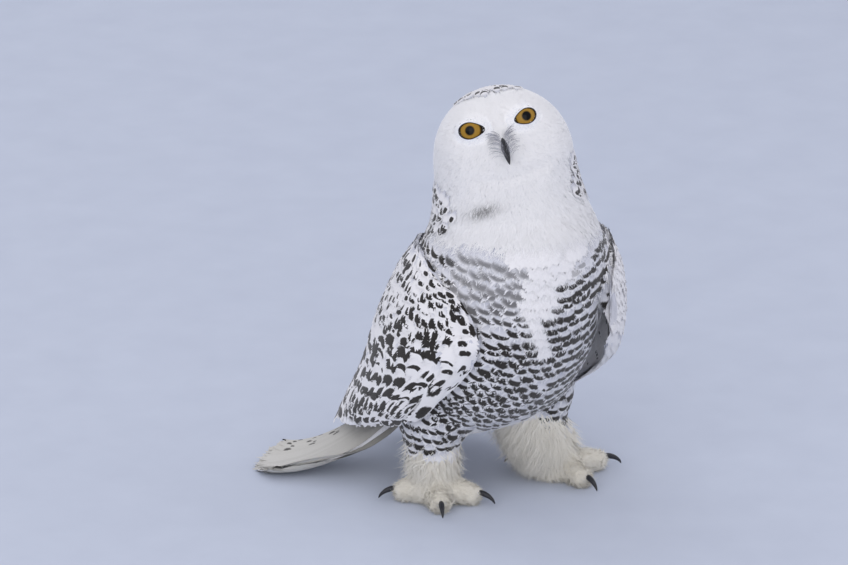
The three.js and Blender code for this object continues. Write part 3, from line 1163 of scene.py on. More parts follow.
# ---- The owl's build ------------------------------------------------------------------------
@dataclass(frozen=True)
class Torso:
    """The line up the middle of the body and the twist of the body round it, as the solids have it."""

    height: tuple[float, ...] = (54, 100, 150, 200, 245, 280, 314, 349)
    behind: tuple[float, ...] = (58, 30, 12, 4, -7, -11, -3, 4)
    twist: tuple[float, ...] = (0, 2, 10, 20, 27, 34, 43, 48)
    right_foot: tuple[float, float] = (-67.0, 34.0)  # where that foot stands from the line's own foot

    def turn(self, z: Array) -> Array:
        """How far the body is twisted at each height, in radians."""
        return np.radians(np.interp(z, self.height, self.twist))

    def axis(self, z: Array) -> Array:
        """The middle of the body at each height."""
        foot = middle_of("foot_right")[:2] - np.array(self.right_foot)
        y = foot[1] + np.interp(z, self.height, self.behind)
        return np.stack([np.full_like(y, foot[0]), y, z], -1)

    def outwards(self, z: Array, angle: Array) -> Array:
        """The level direction at an angle from the breast, in radians, at each height."""
        turned_to = angle - self.turn(z)
        return np.stack([np.sin(turned_to), -np.cos(turned_to), 0 * z], -1)

    def angle_of(self, point: Array) -> Array:
        """How far round from the breast each point lies, in radians, positive to the owl's left."""
        off = point - self.axis(point[:, 2])
        angle = np.arctan2(off[:, 0], -off[:, 1]) + self.turn(point[:, 2])
        return (angle + np.pi) % (2 * np.pi) - np.pi


@dataclass(frozen=True)
class HeadPose:
    """How the head is held: turned over the right side, raised and tipped."""

    yaw: float = -48.0
    pitch: float = 21.0
    roll: float = 14.0
    eyes_ahead: float = 39.0  # of the skull's middle
    eyes_over: float = 30.5

    @property
    def rotation(self) -> Array:
        """The rotation from the head's own frame, which looks along -Y."""
        return turned("z", self.yaw) @ turned("x", -self.pitch) @ turned("y", -self.roll)

    @property
    def middle(self) -> Array:
        """The middle of the skull, found from the eyes."""
        between = (middle_of("eye_right") + middle_of("eye_left")) / 2
        return between - self.rotation @ np.array([0.0, -self.eyes_ahead, self.eyes_over])

    def out(self, local: Array) -> Array:
        """Points of the head's own frame, in the owl's frame."""
        return self.middle + local @ self.rotation.T

    def into(self, point: Array) -> Array:
        """Points of the owl's frame, in the head's own frame."""
        return (point - self.middle) @ self.rotation


@dataclass
class Owl:
    """What every piece of plumage is laid on: the surface, the pose and the source of chance."""

    torso: Torso = field(default_factory=Torso)
    head: HeadPose = field(default_factory=HeadPose)
    surface: Surface = field(default_factory=Surface)

    def __post_init__(self) -> None:
        """Lays the coat's flow over the surface."""
        Bill(self).mould()
        Eyes(self).mould()
        self.angle = self.torso.angle_of(self.surface.point)
        self.wings = {side: node_tree(f"wing_{side.word}") for side in Side}
        self.surface.lay(self.rough_flow())

    def facing(self) -> Array:
        """How squarely each of the surface's points faces out from the body, from -1 to 1."""
        return (self.surface.normal * self.torso.outwards(self.surface.point[:, 2], self.angle)).sum(1)

    def rough_flow(self) -> Array:
        """Roughly which way the coat lies at each point of the surface."""
        surface = self.surface
        point = surface.point
        around = np.abs(self.angle)
        outwards = self.torso.outwards(point[:, 2], self.angle)
        sideways = np.cross(UP, outwards) * np.sign(self.angle)[:, None]
        beside = (np.minimum(around, 1.0) * np.exp(-around))[:, None]
        under = ramp(-surface.normal[:, 2], 0.1, 0.7)[:, None]
        flow = -UP + 0.9 * beside * sideways + 1.6 * under * np.array([0.0, 1.0, 0.0])

        wing = surface.owned_by("wing")
        flow[wing] = (-UP + 0.75 * sideways)[wing]
        flow[surface.owned_by("thigh")] = np.array([0.0, 0.2, -1.0])
        flow[surface.owned_by("leg")] = -UP
        for side in Side:
            feet = surface.owned_by(*(f"{part}_{side.word}" for part in ("foot", "toe", "claw")))
            away = point[feet] - middle_of(f"foot_{side.word}")
            away[:, 2] = 0.0
            flow[feet] = unit(away) - 0.25 * UP
        low, high = box_of("tail")
        back = np.array([low[0] - high[0], high[1] - low[1], 0.0])
        flow[surface.owned_by("tail")] = back * 0.01 - 0.3 * UP

        head = surface.owned_by("head", "eye", "bill")
        flow[head] = unit(point[head] - self.head.out(np.array([0.0, -36.0, 12.0])))
        for side in Side:
            eye = self.head.rotation @ np.array([0.0, -17.0, 0.0]) + middle_of(f"eye_{side.word}")
            away = point[head] - eye
            near = hill(np.linalg.norm(away, axis=1), 0.0, 24.0)[:, None]
            flow[head] = (1 - near) * flow[head] + 1.6 * near * unit(away)
        return flow

    def covered(self, point: Array, normal: Array) -> Array:
        """Which places lie under a folded wing.

        Args:
            point: the places.
            normal: the direction out of the body at each of them.

        Returns:
            True for each place that a wing hides.
        """
        hidden = []
        for place, out in zip(point.tolist(), normal.tolist()):
            start = Vector(place) + 1.5 * Vector(out)
            hits = [tree.ray_cast(start, Vector(out), 70.0)[0] for tree in self.wings.values()]
            hidden.append(any(hit is not None for hit in hits))
        return np.array(hidden, bool)


# ---- Eyes and skin --------------------------------------------------------------------------
@dataclass
class Eyes:
    """The eyeballs and the lids round them."""

    owl: Owl
    half_width: float = 10.2
    half_height: float = 7.9
    corner: float = 2.8  # how far the inner corner runs on towards the bill
    slant: float = 9.0  # how far the inner corner lies lower, in degrees
    splay: float = 12.0  # how far each eye looks outwards, in degrees
    narrowed: tuple[float, float] = (1.0, 0.93)  # how wide the right and left eyes are opened
    tube: tuple[float, float] = (14.4, 10.8)  # half the width and height of the eyeball's tube

    def socket(self, side: Side) -> tuple[Array, float, Array]:
        """One eye's place.

        Args:
            side: which eye.

        Returns:
            The eyeball's middle, its radius, and a matrix whose columns are the eye's outer
            side, the way it looks, and its upper side.
        """
        low, high = box_of(f"eye_{side.word}")
        turn = self.owl.head.rotation @ turned("z", side.value * self.splay)
        outer, ahead, upper = turn @ np.array([side.value, 0, 0]), turn @ np.array([0, -1, 0]), turn[:, 2]
        tilt = math.radians(self.slant)
        across = math.cos(tilt) * outer + math.sin(tilt) * upper
        over = math.cos(tilt) * upper - math.sin(tilt) * outer
        return (low + high) / 2, float((high - low).max() / 2), np.stack([across, ahead, over], 1)

    def opened(self, side: Side) -> float:
        """How wide one eye is opened."""
        return self.narrowed[side is Side.LEFT]

    def opening(self, side: Side, angle: Array) -> tuple[Array, Array]:
        """The edge of the lids at angles round the eye, as distances outwards and upwards."""
        x, z = np.cos(angle), np.sin(angle)
        inner = np.clip(-x, 0, 1)
        x = self.half_width * x - self.corner * self.opened(side) ** 6 * inner**3
        z = self.half_height * z * np.where(z > 0, 0.94, 1.0) * (1 - 0.12 * inner)
        return x * self.opened(side), z * self.opened(side)

    def on_ball(self, side: Side, x: Array, z: Array, radius: Array) -> Array:
        """Points over the eyeball, at distances outwards and upwards and at a radius."""
        middle, _, axes = self.socket(side)
        ahead = np.sqrt(np.maximum(radius**2 - x**2 - z**2, 0.0))
        return middle + np.stack([x, ahead, z], -1) @ axes.T

    def mould(self) -> None:
        """Draws the surface round each eye down onto the eyeball, as the lids lie."""
        surface = self.owl.surface
        for side in Side:
            middle, radius, axes = self.socket(side)
            local = (surface.point - middle) @ axes
            share = self.spread(side, local[:, 0], local[:, 2], 0.0)
            on_lid = np.sqrt(np.maximum((radius + 1.3) ** 2 - local[:, 0] ** 2 - local[:, 2] ** 2, 16.0))
            near = ramp(share, 1.85, 1.1) * (local[:, 1] > 0.2 * radius)
            local[:, 1] += near * (on_lid - local[:, 1])
            surface.point = middle + local @ axes.T
        surface.normal = surface.smooth_normals(surface.point)

    def spread(self, side: Side, x: Array, z: Array, margin: float) -> Array:
        """How far places lie from the middle of an opening, as a share of the way to its edge."""
        inner, wide = 0.35 * self.corner, self.opened(side)
        half = wide * (self.half_width + inner) + margin
        return np.hypot((x + inner) / half, z / (wide * self.half_height + margin))

    def lids(self) -> tuple[Array, Array, Array]:
        """Builds both eyes' lids, from the inner edge over the rim and down into the face.

        Returns:
            Points, quads, and which quads are the dark rim.
        """
        spans = [1.03, 1.0, 0.99, 1.04, 1.1, 1.15, 1.22, 1.32]
        lifts = [-0.6, 0.1, 0.7, 1.05, 1.0, 0.7, 0.4, -0.2]
        around = 48
        angle = np.linspace(0, 2 * np.pi, around, endpoint=False)
        point, quad, dark = [], [], []
        for side in Side:
            radius = self.socket(side)[1]
            x, z = self.opening(side, angle)
            faces = len(point) * around + ring_quads(len(spans), around)
            for ring, (span, lift) in enumerate(zip(spans, lifts)):
                span = span + 0.09 * (ring > 2) * np.clip(np.cos(angle), 0.0, 1.0)
                point.append(self.on_ball(side, x * span, z * span, np.full(around, radius + lift)))
            quad.append(faces[:, ::-1] if side is Side.LEFT else faces)
            dark.append(np.arange(len(faces)) < 4 * around)
        return np.concatenate(point), np.concatenate(quad), np.concatenate(dark)

    def out_of_opening(self, point: Array, margin: float) -> Array:
        """How far points lie outside the eyes' openings.

        Args:
            point: points near the face.
            margin: how much wider than the opening counts as inside, in millimetres.

        Returns:
            Numbers under one inside an opening, and over one outside.
        """
        nearest = np.full(len(point), 9.0)
        for side in Side:
            middle, radius, axes = self.socket(side)
            local = (point - middle) @ axes
            share = self.spread(side, local[:, 0], local[:, 2], margin)
            share[local[:, 1] < 0.3 * radius] = 9.0
            nearest = np.minimum(nearest, share)
        return nearest

    def build(self, finish: WetEye) -> None:
        """Makes the eyeballs, each a tube with a bulging cornea.

        Args:
            finish: the eye's finish.
        """
        material = finish.build()
        rings, around = 39, 64
        count = rings * around
        tilt = np.linspace(0.0, np.pi, rings + 2)[1:-1, None]
        turn = np.linspace(0, 2 * np.pi, around, endpoint=False)
        after = np.roll(np.arange(around), -1).tolist()
        face = ring_quads(rings, around)[:, [0, 3, 2, 1]].tolist()
        face += [(count, i, k) for i, k in enumerate(after)]
        face += [(count + 1, count - around + k, count - around + i) for i, k in enumerate(after)]
        for side in Side:
            middle, radius, axes = self.socket(side)
            wide, high = (self.opened(side) * half for half in self.tube)
            wall = 1 / np.hypot(np.cos(turn) / wide, np.sin(turn) / high)
            off = np.minimum(radius * np.sin(tilt), wall)
            ahead = radius * np.cos(tilt) + 0.6 * ramp(off, 13.0, 4.0) * (np.cos(tilt) > 0)
            local = np.stack([off * np.cos(turn), ahead, off * np.sin(turn)], -1)
            ends = np.array([[0, radius + 0.6, 0], [0, -radius, 0]])
            point = middle + np.concatenate([local.reshape(-1, 3), ends]) @ axes.T
            mesh = bpy.data.meshes.new(f"eyeball_{side.word}")
            faces = [f[::-1] for f in face] if side is Side.LEFT else face
            mesh.from_pydata((point * MM).tolist(), [], faces)
            mesh.shade_smooth()
            # Behind its middle the ball is as far from the pupil as the white of the eye.
            away = np.append(off + 30.0 * (ahead <= 0), [0.0, 30.0])
            spin = np.append(np.tile(turn, rings), [0.0, 0.0])
            add_vectors(mesh, "gaze", np.stack([away, 4 * np.cos(spin), 4 * np.sin(spin)], 1))
            place_piece(mesh, "eye", [material], [f"eye_{side.word}"])


@dataclass
class Skin:
    """One skin under the whole coat, from the crown to the toes, with the eyelids."""

    owl: Owl
    eyes: Eyes
    trunk_depth: float = 5.0  # how deep it lies under the coat's outer surface
    depths: tuple[tuple[str, float], ...] = (
        ("head", 3.6), ("bill", 3.6), ("leg", 4.5), ("foot", 4.5), ("toe", 3.0), ("claw", 1.5),
        ("wing", 2.2), ("tail", 1.0), ("eye", 0.4),
    )

    def depth(self) -> Array:
        """How deep the skin lies under the coat's outer surface at each point."""
        surface = self.owl.surface
        deep = np.full((len(surface.point), 1), self.trunk_depth)
        for node, depth in self.depths:
            deep[surface.owned_by(node)] = depth
        for _ in range(6):
            deep = surface.neighbours_mean(deep)
        by_lid = 0.5 + 2.0 * np.maximum(self.eyes.out_of_opening(surface.point, 0.0) - 1.5, 0.0)
        return np.minimum(deep[:, 0], by_lid)

    def darkness(self) -> Array:
        """How dark the coat close over each of the surface's points is."""
        coat = np.concatenate(COAT_SHADES)
        tree = point_tree(coat[:, :3])
        nearest = [tree.find_n(place, 3) for place in self.owl.surface.point.tolist()]
        dark = np.array([np.mean([coat[i, 3] for _, i, _ in found]) for found in nearest])
        return dark * ramp(np.array([found[0][2] for found in nearest]), 7.0, 3.5)

    def build(self, finish: DownySkin, rim: LidSkin) -> None:
        """Makes the skin, once the coat is there to take its markings from.

        Args:
            finish: the skin's finish.
            rim: the finish of the lids' dark edge.
        """
        surface = self.owl.surface
        point = surface.point - surface.normal * self.depth()[:, None]
        point[:, 2] = np.maximum(point[:, 2], 0.4)
        middle = surface.point[surface.quad].mean(1)
        open_eye = self.eyes.out_of_opening(middle, 1.0) < 1.0
        bare = surface.owned_by("bill", "claw")[surface.quad].all(1)
        keep = ~(open_eye | bare)
        lid_point, lid_quad, dark = self.eyes.lids()
        quad = np.concatenate([surface.quad[keep], lid_quad + len(point)])
        mesh = new_mesh("skin", np.concatenate([point, lid_point]), quad)
        uv = np.concatenate([surface.uv[keep], np.full((len(lid_quad), 4, 2), 0.002)])
        mesh.uv_layers.new(name=BAKE_MAP).uv.foreach_set("vector", uv.astype(np.float32).ravel())
        shade = np.concatenate([self.darkness(), np.zeros(len(lid_point))])
        data = mesh.attributes.new("darkness", "FLOAT", "POINT").data
        data.foreach_set("value", shade.astype(np.float32))
        mesh.shade_smooth()
        flesh = ("head", "neck", "trunk", "tail", "wing", "thigh", "leg", "foot", "toe")
        nodes = [n for n in frame["nodes"] if n.startswith(flesh)]
        place_piece(mesh, "plumage", [finish.build(), rim.build()], nodes)
        which = np.concatenate([np.zeros(keep.sum(), np.int32), dark.astype(np.int32)])
        mesh.polygons.foreach_set("material_index", which)


# ---- Soft coat ------------------------------------------------------------------------------
@dataclass(frozen=True)
class Tuft:
    """One kind of soft tuft: how thickly it grows, its size and how it lies."""

    number: float  # how many each quad of the surface holds where it grows
    length: float
    width: float
    depth: float  # how deep its root lies under the outer surface
    bend: float  # the radius of the body under it
    wander: float = 0.25  # how far the tufts' directions differ, in radians
    lift: float = 0.3  # how far their tips stand out
    smooth: float = 0.75  # how much their lighting follows the body rather than each tuft


Stretch = tuple[Tuft, Array, Callable[[Sites], Array] | None]  # the tuft, where it grows, how dark


@dataclass
class Down:
    """The fine soft tufts of the head, throat, breast, legs and feet."""

    owl: Owl
    eyes: Eyes
    shape: Shape = field(default_factory=hair_shape)

    def grow(self, name: str, finish: Material, slot: str, *stretches: Stretch) -> None:
        """Makes one piece of down.

        Args:
            name: the piece's name.
            finish: its material.
            slot: the record's material slot.
            stretches: what grows on it.
        """
        piece = CoatPiece(name)
        for tuft, chance, dark in stretches:
            self.lay(piece, tuft, chance, dark)
        piece.write(finish, slot)

    def lay(
        self, piece: CoatPiece, tuft: Tuft, chance: Array, dark: Callable[[Sites], Array] | None
    ) -> None:
        """Lays tufts that root in the skin and rise to the coat's outer surface.

        Args:
            piece: the piece that they go into.
            tuft: what they are like.
            chance: how thickly they grow at each of the surface's points, where one is in full.
            dark: a function from their places to how dark each one is.
        """
        shape = self.shape
        sites = self.owl.surface.scattered(tuft.number * chance)
        sites = sites.only(self.eyes.out_of_opening(sites.point, 0.9) > 1.0)
        number = len(sites)
        if not number:
            return
        vary = DICE.uniform(0.75, 1.25, number)
        off_eye = ramp(self.eyes.out_of_opening(sites.point, 0.9), 1.0, 2.2)
        length = tuft.length * vary * (0.4 + 0.6 * off_eye)
        half_width = 0.5 * tuft.width * DICE.uniform(0.8, 1.2, number)
        turn = tuft.wander * DICE.standard_normal((number, 1))
        curl, roll = 0.18 * DICE.standard_normal((number, 1)), 0.5 * DICE.standard_normal((number, 1))
        ahead = unit(sites.flow * np.cos(turn) + np.cross(sites.flow, sites.normal) * np.sin(turn))
        across = np.cross(ahead, sites.normal)
        x = length[:, None] * shape.v
        side = half_width[:, None] * shape.u
        depth = tuft.depth * (0.25 + 0.75 * off_eye)
        rise = tuft.lift * shape.v**2 - depth[:, None] * (1 - shape.v**0.8) - x**2 / (2 * tuft.bend)
        point = (
            (sites.point - sites.flow * (0.45 * length * off_eye)[:, None])[:, None]
            + ahead[:, None] * x[..., None]
            + across[:, None] * (side * np.cos(roll) + curl * x * shape.v)[..., None]
            + sites.normal[:, None] * (rise + side * np.sin(roll) + shape.height)[..., None]
        )
        point[..., 2] = np.maximum(point[..., 2], 0.2)
        own = unit(sites.normal * np.cos(roll) - across * np.sin(roll))
        body = sites.normal[:, None] + ahead[:, None] * (x / tuft.bend)[..., None]
        lit = unit(tuft.smooth * body + (1 - tuft.smooth) * own[:, None])
        strength = np.zeros(number) if dark is None else dark(sites)
        marks = Marks.of(number, centre_v=0.7, half_v=0.5, half_u=3.0, strength=strength)
        piece.add(point, lit, shape, sites.uv, marks)


@dataclass
class HeadCoat:
    """The short plumage of face, crown and nape, the full bib, and the down over the breast."""

    owl: Owl
    eyes: Eyes
    face: Tuft = Tuft(5.8, 7.0, 1.1, 3.0, 70.0, lift=0.2)
    crown: Tuft = Tuft(5.0, 9.0, 1.4, 3.4, 70.0)
    bib: Tuft = Tuft(4.2, 14.0, 1.6, 4.0, 90.0, lift=1.1)
    shoulder: Tuft = Tuft(2.4, 20.0, 1.8, 3.0, 90.0, wander=0.5, lift=2.6)
    veil: Tuft = Tuft(1.0, 16.0, 1.6, 2.0, 90.0, lift=1.6)
    fleck: Kind = Kind(
        Vane(barbs=8, rows=4, columns=2, fray=0.15, barb_reach=0.3, camber=0.2, barb_height=0.2),
        15.0, 9.0, depth=1.6, lift=0.5, tilt=0.2, smooth=0.8,
    )

    def speckled(self, point: Array) -> Array:
        """How thickly the dark flecks lie: over crown, nape and the sides of the neck."""
        local = self.owl.head.into(point)
        side = np.degrees(np.arctan2(np.abs(local[:, 0]), -local[:, 1]))
        low = ramp(local[:, 2], 4.0, -24.0)
        behind = ramp(side, 92.0 - 32.0 * low, 102.0 - 32.0 * low)
        plain = ramp(local[:, 2], -44.0, -54.0) * ramp(local[:, 1], 55.0, 35.0)
        high = ramp(local[:, 2], 58.0, 63.0) * ramp(np.abs(local[:, 0] - 4.0), 38.0, 30.0)
        return np.maximum(behind * (1 - plain), high)

    def smudge(self, sites: Sites) -> Array:
        """How dark each tuft is: a faint smudge under the chin and nothing else."""
        local = self.owl.head.into(sites.point)
        near = hill(local[:, 0], -35.0, 15.0) * hill(local[:, 2], -49.0, 6.0) * (local[:, 1] < 0)
        return 0.7 * near * (DICE.random(len(sites)) < 0.7)

    def chevron(self, sites: Sites) -> Given:
        """How crown, nape and neck are marked: some short feathers are tipped with a dark chevron."""
        ahead = ramp(self.owl.head.into(sites.point)[:, 1], 30.0, 14.0)
        some = 1.0 * (DICE.random(len(sites)) < 0.42 + 0.3 * ahead)
        return {"unevenness": 0.3, "centre_v": 0.76, "half_v": 0.15, "half_u": 0.7, "bow": -0.25,
                "strength": some}

    def build(self, white: Material, flecked: Material) -> None:
        """Makes the head's, the bib's and the breast's soft plumage.

        Args:
            white: the finish of the down.
            flecked: the finish of the short feathers over it.
        """
        owl, down = self.owl, Down(self.owl, self.eyes)
        surface, round_body = owl.surface, np.abs(owl.angle)
        z = surface.point[:, 2]
        head = surface.owned_by("head", "eye", "bill")
        ahead = head & (owl.head.into(surface.point)[:, 1] < 0)
        front = ramp(round_body, 2.0, 1.5)
        plain = (1 - BodyCoat(owl).barring(surface.point)) * front * ramp(z, 120.0, 200.0)
        trunk = surface.owned_by("trunk")
        neck = np.maximum(surface.owned_by("neck"), trunk * ramp(z, 232.0, 275.0) * front)
        shoulder = surface.owned_by("wing") * ramp(z, 222.0, 246.0) * ramp(round_body, 1.9, 1.5)
        veil = trunk * front * (0.12 + 4.6 * plain * ramp(z, 300.0, 270.0)) * (z > 90)
        speckled = self.speckled(surface.point)
        thin = 1 - 0.75 * speckled
        down.grow("face_down", white, "plumage", (self.face, thin * ahead, self.smudge))
        down.grow("crown_down", white, "plumage", (self.crown, thin * (head & ~ahead), None))
        bib = (self.bib, thin * neck, self.smudge), (self.shoulder, shoulder, None)
        down.grow("bib_down", white, "plumage", *bib)
        down.grow("breast_down", white, "plumage", (self.veil, veil, None))
        flecks = CoatPiece("neck_feathers")
        thick = 0.14 * speckled * surface.owned_by("head", "neck")
        self.fleck.scatter(flecks, owl, thick, 0.6, self.chevron, over=0.4)
        flecks.write(flecked)


@dataclass
class Trousers:
    """The long hair-like feathers that clothe shanks, feet and toes down to the claws."""

    owl: Owl
    eyes: Eyes
    shank: Tuft = Tuft(2.6, 22.0, 1.3, 4.0, 60.0, wander=0.3, lift=2.6)
    plume: Tuft = Tuft(2.2, 38.0, 1.6, 4.0, 400.0, wander=0.3, lift=10.0)
    cuff: Tuft = Tuft(1.4, 26.0, 1.4, 4.0, 200.0, wander=0.4, lift=7.0)
    instep: Tuft = Tuft(3.5, 17.0, 1.2, 3.0, 60.0, wander=0.5, lift=4.5, smooth=0.5)
    toe: Tuft = Tuft(4.0, 9.0, 0.9, 2.6, 20.0, wander=0.6, lift=2.4, smooth=0.45)
    fringe: Tuft = Tuft(1.2, 11.0, 1.0, 2.6, 60.0, wander=0.8, lift=3.5)

    def build(self, cream: Material) -> None:
        """Makes the legs' and feet's plumage.

        Args:
            cream: its finish.
        """
        surface = self.owl.surface
        z = surface.point[:, 2]
        shank = np.maximum(surface.owned_by("leg"), surface.owned_by("thigh") * ramp(z, 74.0, 58.0))
        inward = surface.owned_by("leg_left") * ramp(surface.normal[:, 0], 0.3, -0.3)
        toe = surface.owned_by("toe")
        Down(self.owl, self.eyes).grow(
            "leg_down", cream, "leg_plumage",
            (self.shank, shank, None),
            (self.plume, inward, None),
            (self.cuff, shank * ramp(z, 60.0, 36.0), None),
            (self.instep, surface.owned_by("foot"), None),
            (self.toe, toe, None),
            (self.fringe, toe * ramp(z, 12.0, 4.0), None),
        )


# ---- Bill and claws -------------------------------------------------------------------------
@dataclass
class Bill:
    """A short hooked bill, almost buried in feathers, with bristles fanned over its sides."""

    owl: Owl
    top: tuple[float, float] = (-52.0, 17.0)  # its root in the head's own frame, forwards and up
    bend: tuple[float, float] = (-71.0, 14.0)
    tip: tuple[float, float] = (-69.0, -12.0)
    half_width: float = 4.4
    thickness: float = 5.2
    bristles: int = 80

    def ridge(self, t: Array) -> Array:
        """Points along the bill's ridge, in the head's own frame."""
        top, bend, tip = (np.array([0.0, *place]) for place in (self.top, self.bend, self.tip))
        return arc(t[:, None], top, bend, tip)

    def mould(self) -> None:
        """Hollows the face a little round the bill, so that it stands free of the cheeks."""
        surface, head = self.owl.surface, self.owl.head
        local = head.into(surface.point)
        beside, height = np.abs(local[:, 0]), local[:, 2]
        near = hill(beside, 0.0, 12.0) * ramp(height, -26.0, -6.0) * ramp(height, 24.0, 8.0)
        limit = -58.0 - 5.0 * ramp(beside, 2.0, 16.0)
        local[:, 1] += near * (local[:, 1] < -30) * np.maximum(limit - local[:, 1], 0.0)
        crease = hill(height - 0.004 * beside**2, -24.0, 6.0) * ramp(beside, 54.0, 30.0)
        local[:, 1] += 1.3 * crease * (local[:, 1] < -20)
        surface.point = head.out(local)
        surface.normal = surface.smooth_normals(surface.point)

    def build(self, horn: HornKeratin, grey: FeatherKeratin) -> None:
        """Makes the bill and its bristles.

        Args:
            horn: the bill's finish.
            grey: the bristles' finish.
        """
        rings, around = 28, 20
        t = np.linspace(0.0, 1.0, rings)
        line = self.ridge(t)
        inner = np.cross(unit(np.gradient(line, axis=0)), np.array([1.0, 0.0, 0.0]))
        inner *= np.sign(inner[:, 1:2] + 1e-6)
        swell = (0.36 + 0.64 * ramp(t, 0.05, 0.65)) * np.maximum(1 - t**3.2, 0.0) ** 0.7 + 0.02
        turn = np.linspace(0, 2 * np.pi, around, endpoint=False)
        side = self.half_width * swell[:, None] * np.sin(turn)
        deep = self.thickness * swell[:, None] * (1 - np.cos(turn) * (0.92 + 0.08 * np.cos(turn)))
        local = line[:, None] + side[..., None] * np.array([1.0, 0, 0]) + deep[..., None] * inner[:, None]
        point = self.owl.head.out(local.reshape(-1, 3))
        caps = [tuple(range(around))[::-1], tuple((rings - 1) * around + k for k in range(around))]
        mesh = bpy.data.meshes.new("horn_bill")
        mesh.from_pydata((point * MM).tolist(), [], ring_quads(rings, around).tolist() + caps)
        solid = bmesh.new()
        solid.from_mesh(mesh)
        bmesh.ops.recalc_face_normals(solid, faces=solid.faces)
        solid.to_mesh(mesh)
        solid.free()
        mesh.shade_smooth()
        place_piece(mesh, "horn", [horn.build()], ["bill"])
        self.build_bristles(grey.build())

    def build_bristles(self, grey: Material) -> None:
        """Fans fine bristles from beside the ridge out over the cheeks.

        Args:
            grey: their finish.
        """
        head, count = self.owl.head, self.bristles
        piece = CoatPiece("bill_bristles")
        v = np.linspace(0.0, 1.0, 8)
        shape = Shape.strip(0 * v, v, 0 * v, 0.5 * (1 - v[:-1] ** 2) + 0.2, 0.0)
        for side in (-1, 1):
            end_at = DICE.uniform(0.05, 0.86, count)
            end = self.ridge(end_at) + np.array([0.0, -0.4, 0.0])
            end[:, 0] = side * DICE.uniform(0.0, 3.4, count) * (0.4 + end_at)
            away = DICE.uniform(5.0, 15.0, count)
            root = end + np.stack([side * away, 6.0 + 0 * away, DICE.uniform(2.0, 9.0, count)], 1)
            root = head.into(self.owl.surface.nearest(head.out(root))[0])
            arch = np.stack([side * 0.22 * away, -2.0 - 0.18 * away, 2.0 + 0.25 * away], 1)
            bend = 0.5 * (root + end) + arch
            line = arc(shape.v[None, :, None], root[:, None], bend[:, None], end[:, None])
            wide = unit(np.cross(end - root, np.array([0.0, -1.0, 0.0])))
            point = head.out(line + wide[:, None] * (0.16 * shape.u)[:, None])
            lit = np.broadcast_to(head.rotation @ np.array([0, -1.0, 0.2]), point.shape)
            uv = self.owl.surface.sites_near(point[:, 0]).uv
            piece.add(point, lit, shape, uv, Marks.of(count, strength=0.0))
        piece.write(grey)


@dataclass
class Claws:
    """The eight claws: copies of the frame's own solids, rounded off and given a horn finish."""

    rounds: int = 2

    def build(self, horn: HornKeratin) -> None:
        """Makes every claw.

        Args:
            horn: their finish.
        """
        material = horn.build()
        for name in [n for n in frame["nodes"] if n.startswith("claw")]:
            mesh = new_mesh(f"horn_{name}", *mesh_arrays(frame["nodes"][name].data, 3))
            mesh.shade_smooth()
            piece = place_piece(mesh, "horn", [material], [name])
            piece.modifiers.new("joined", "WELD").merge_threshold = 0.01 * MM
            rounded = piece.modifiers.new("rounded", "SUBSURF")
            rounded.levels = rounded.render_levels = self.rounds


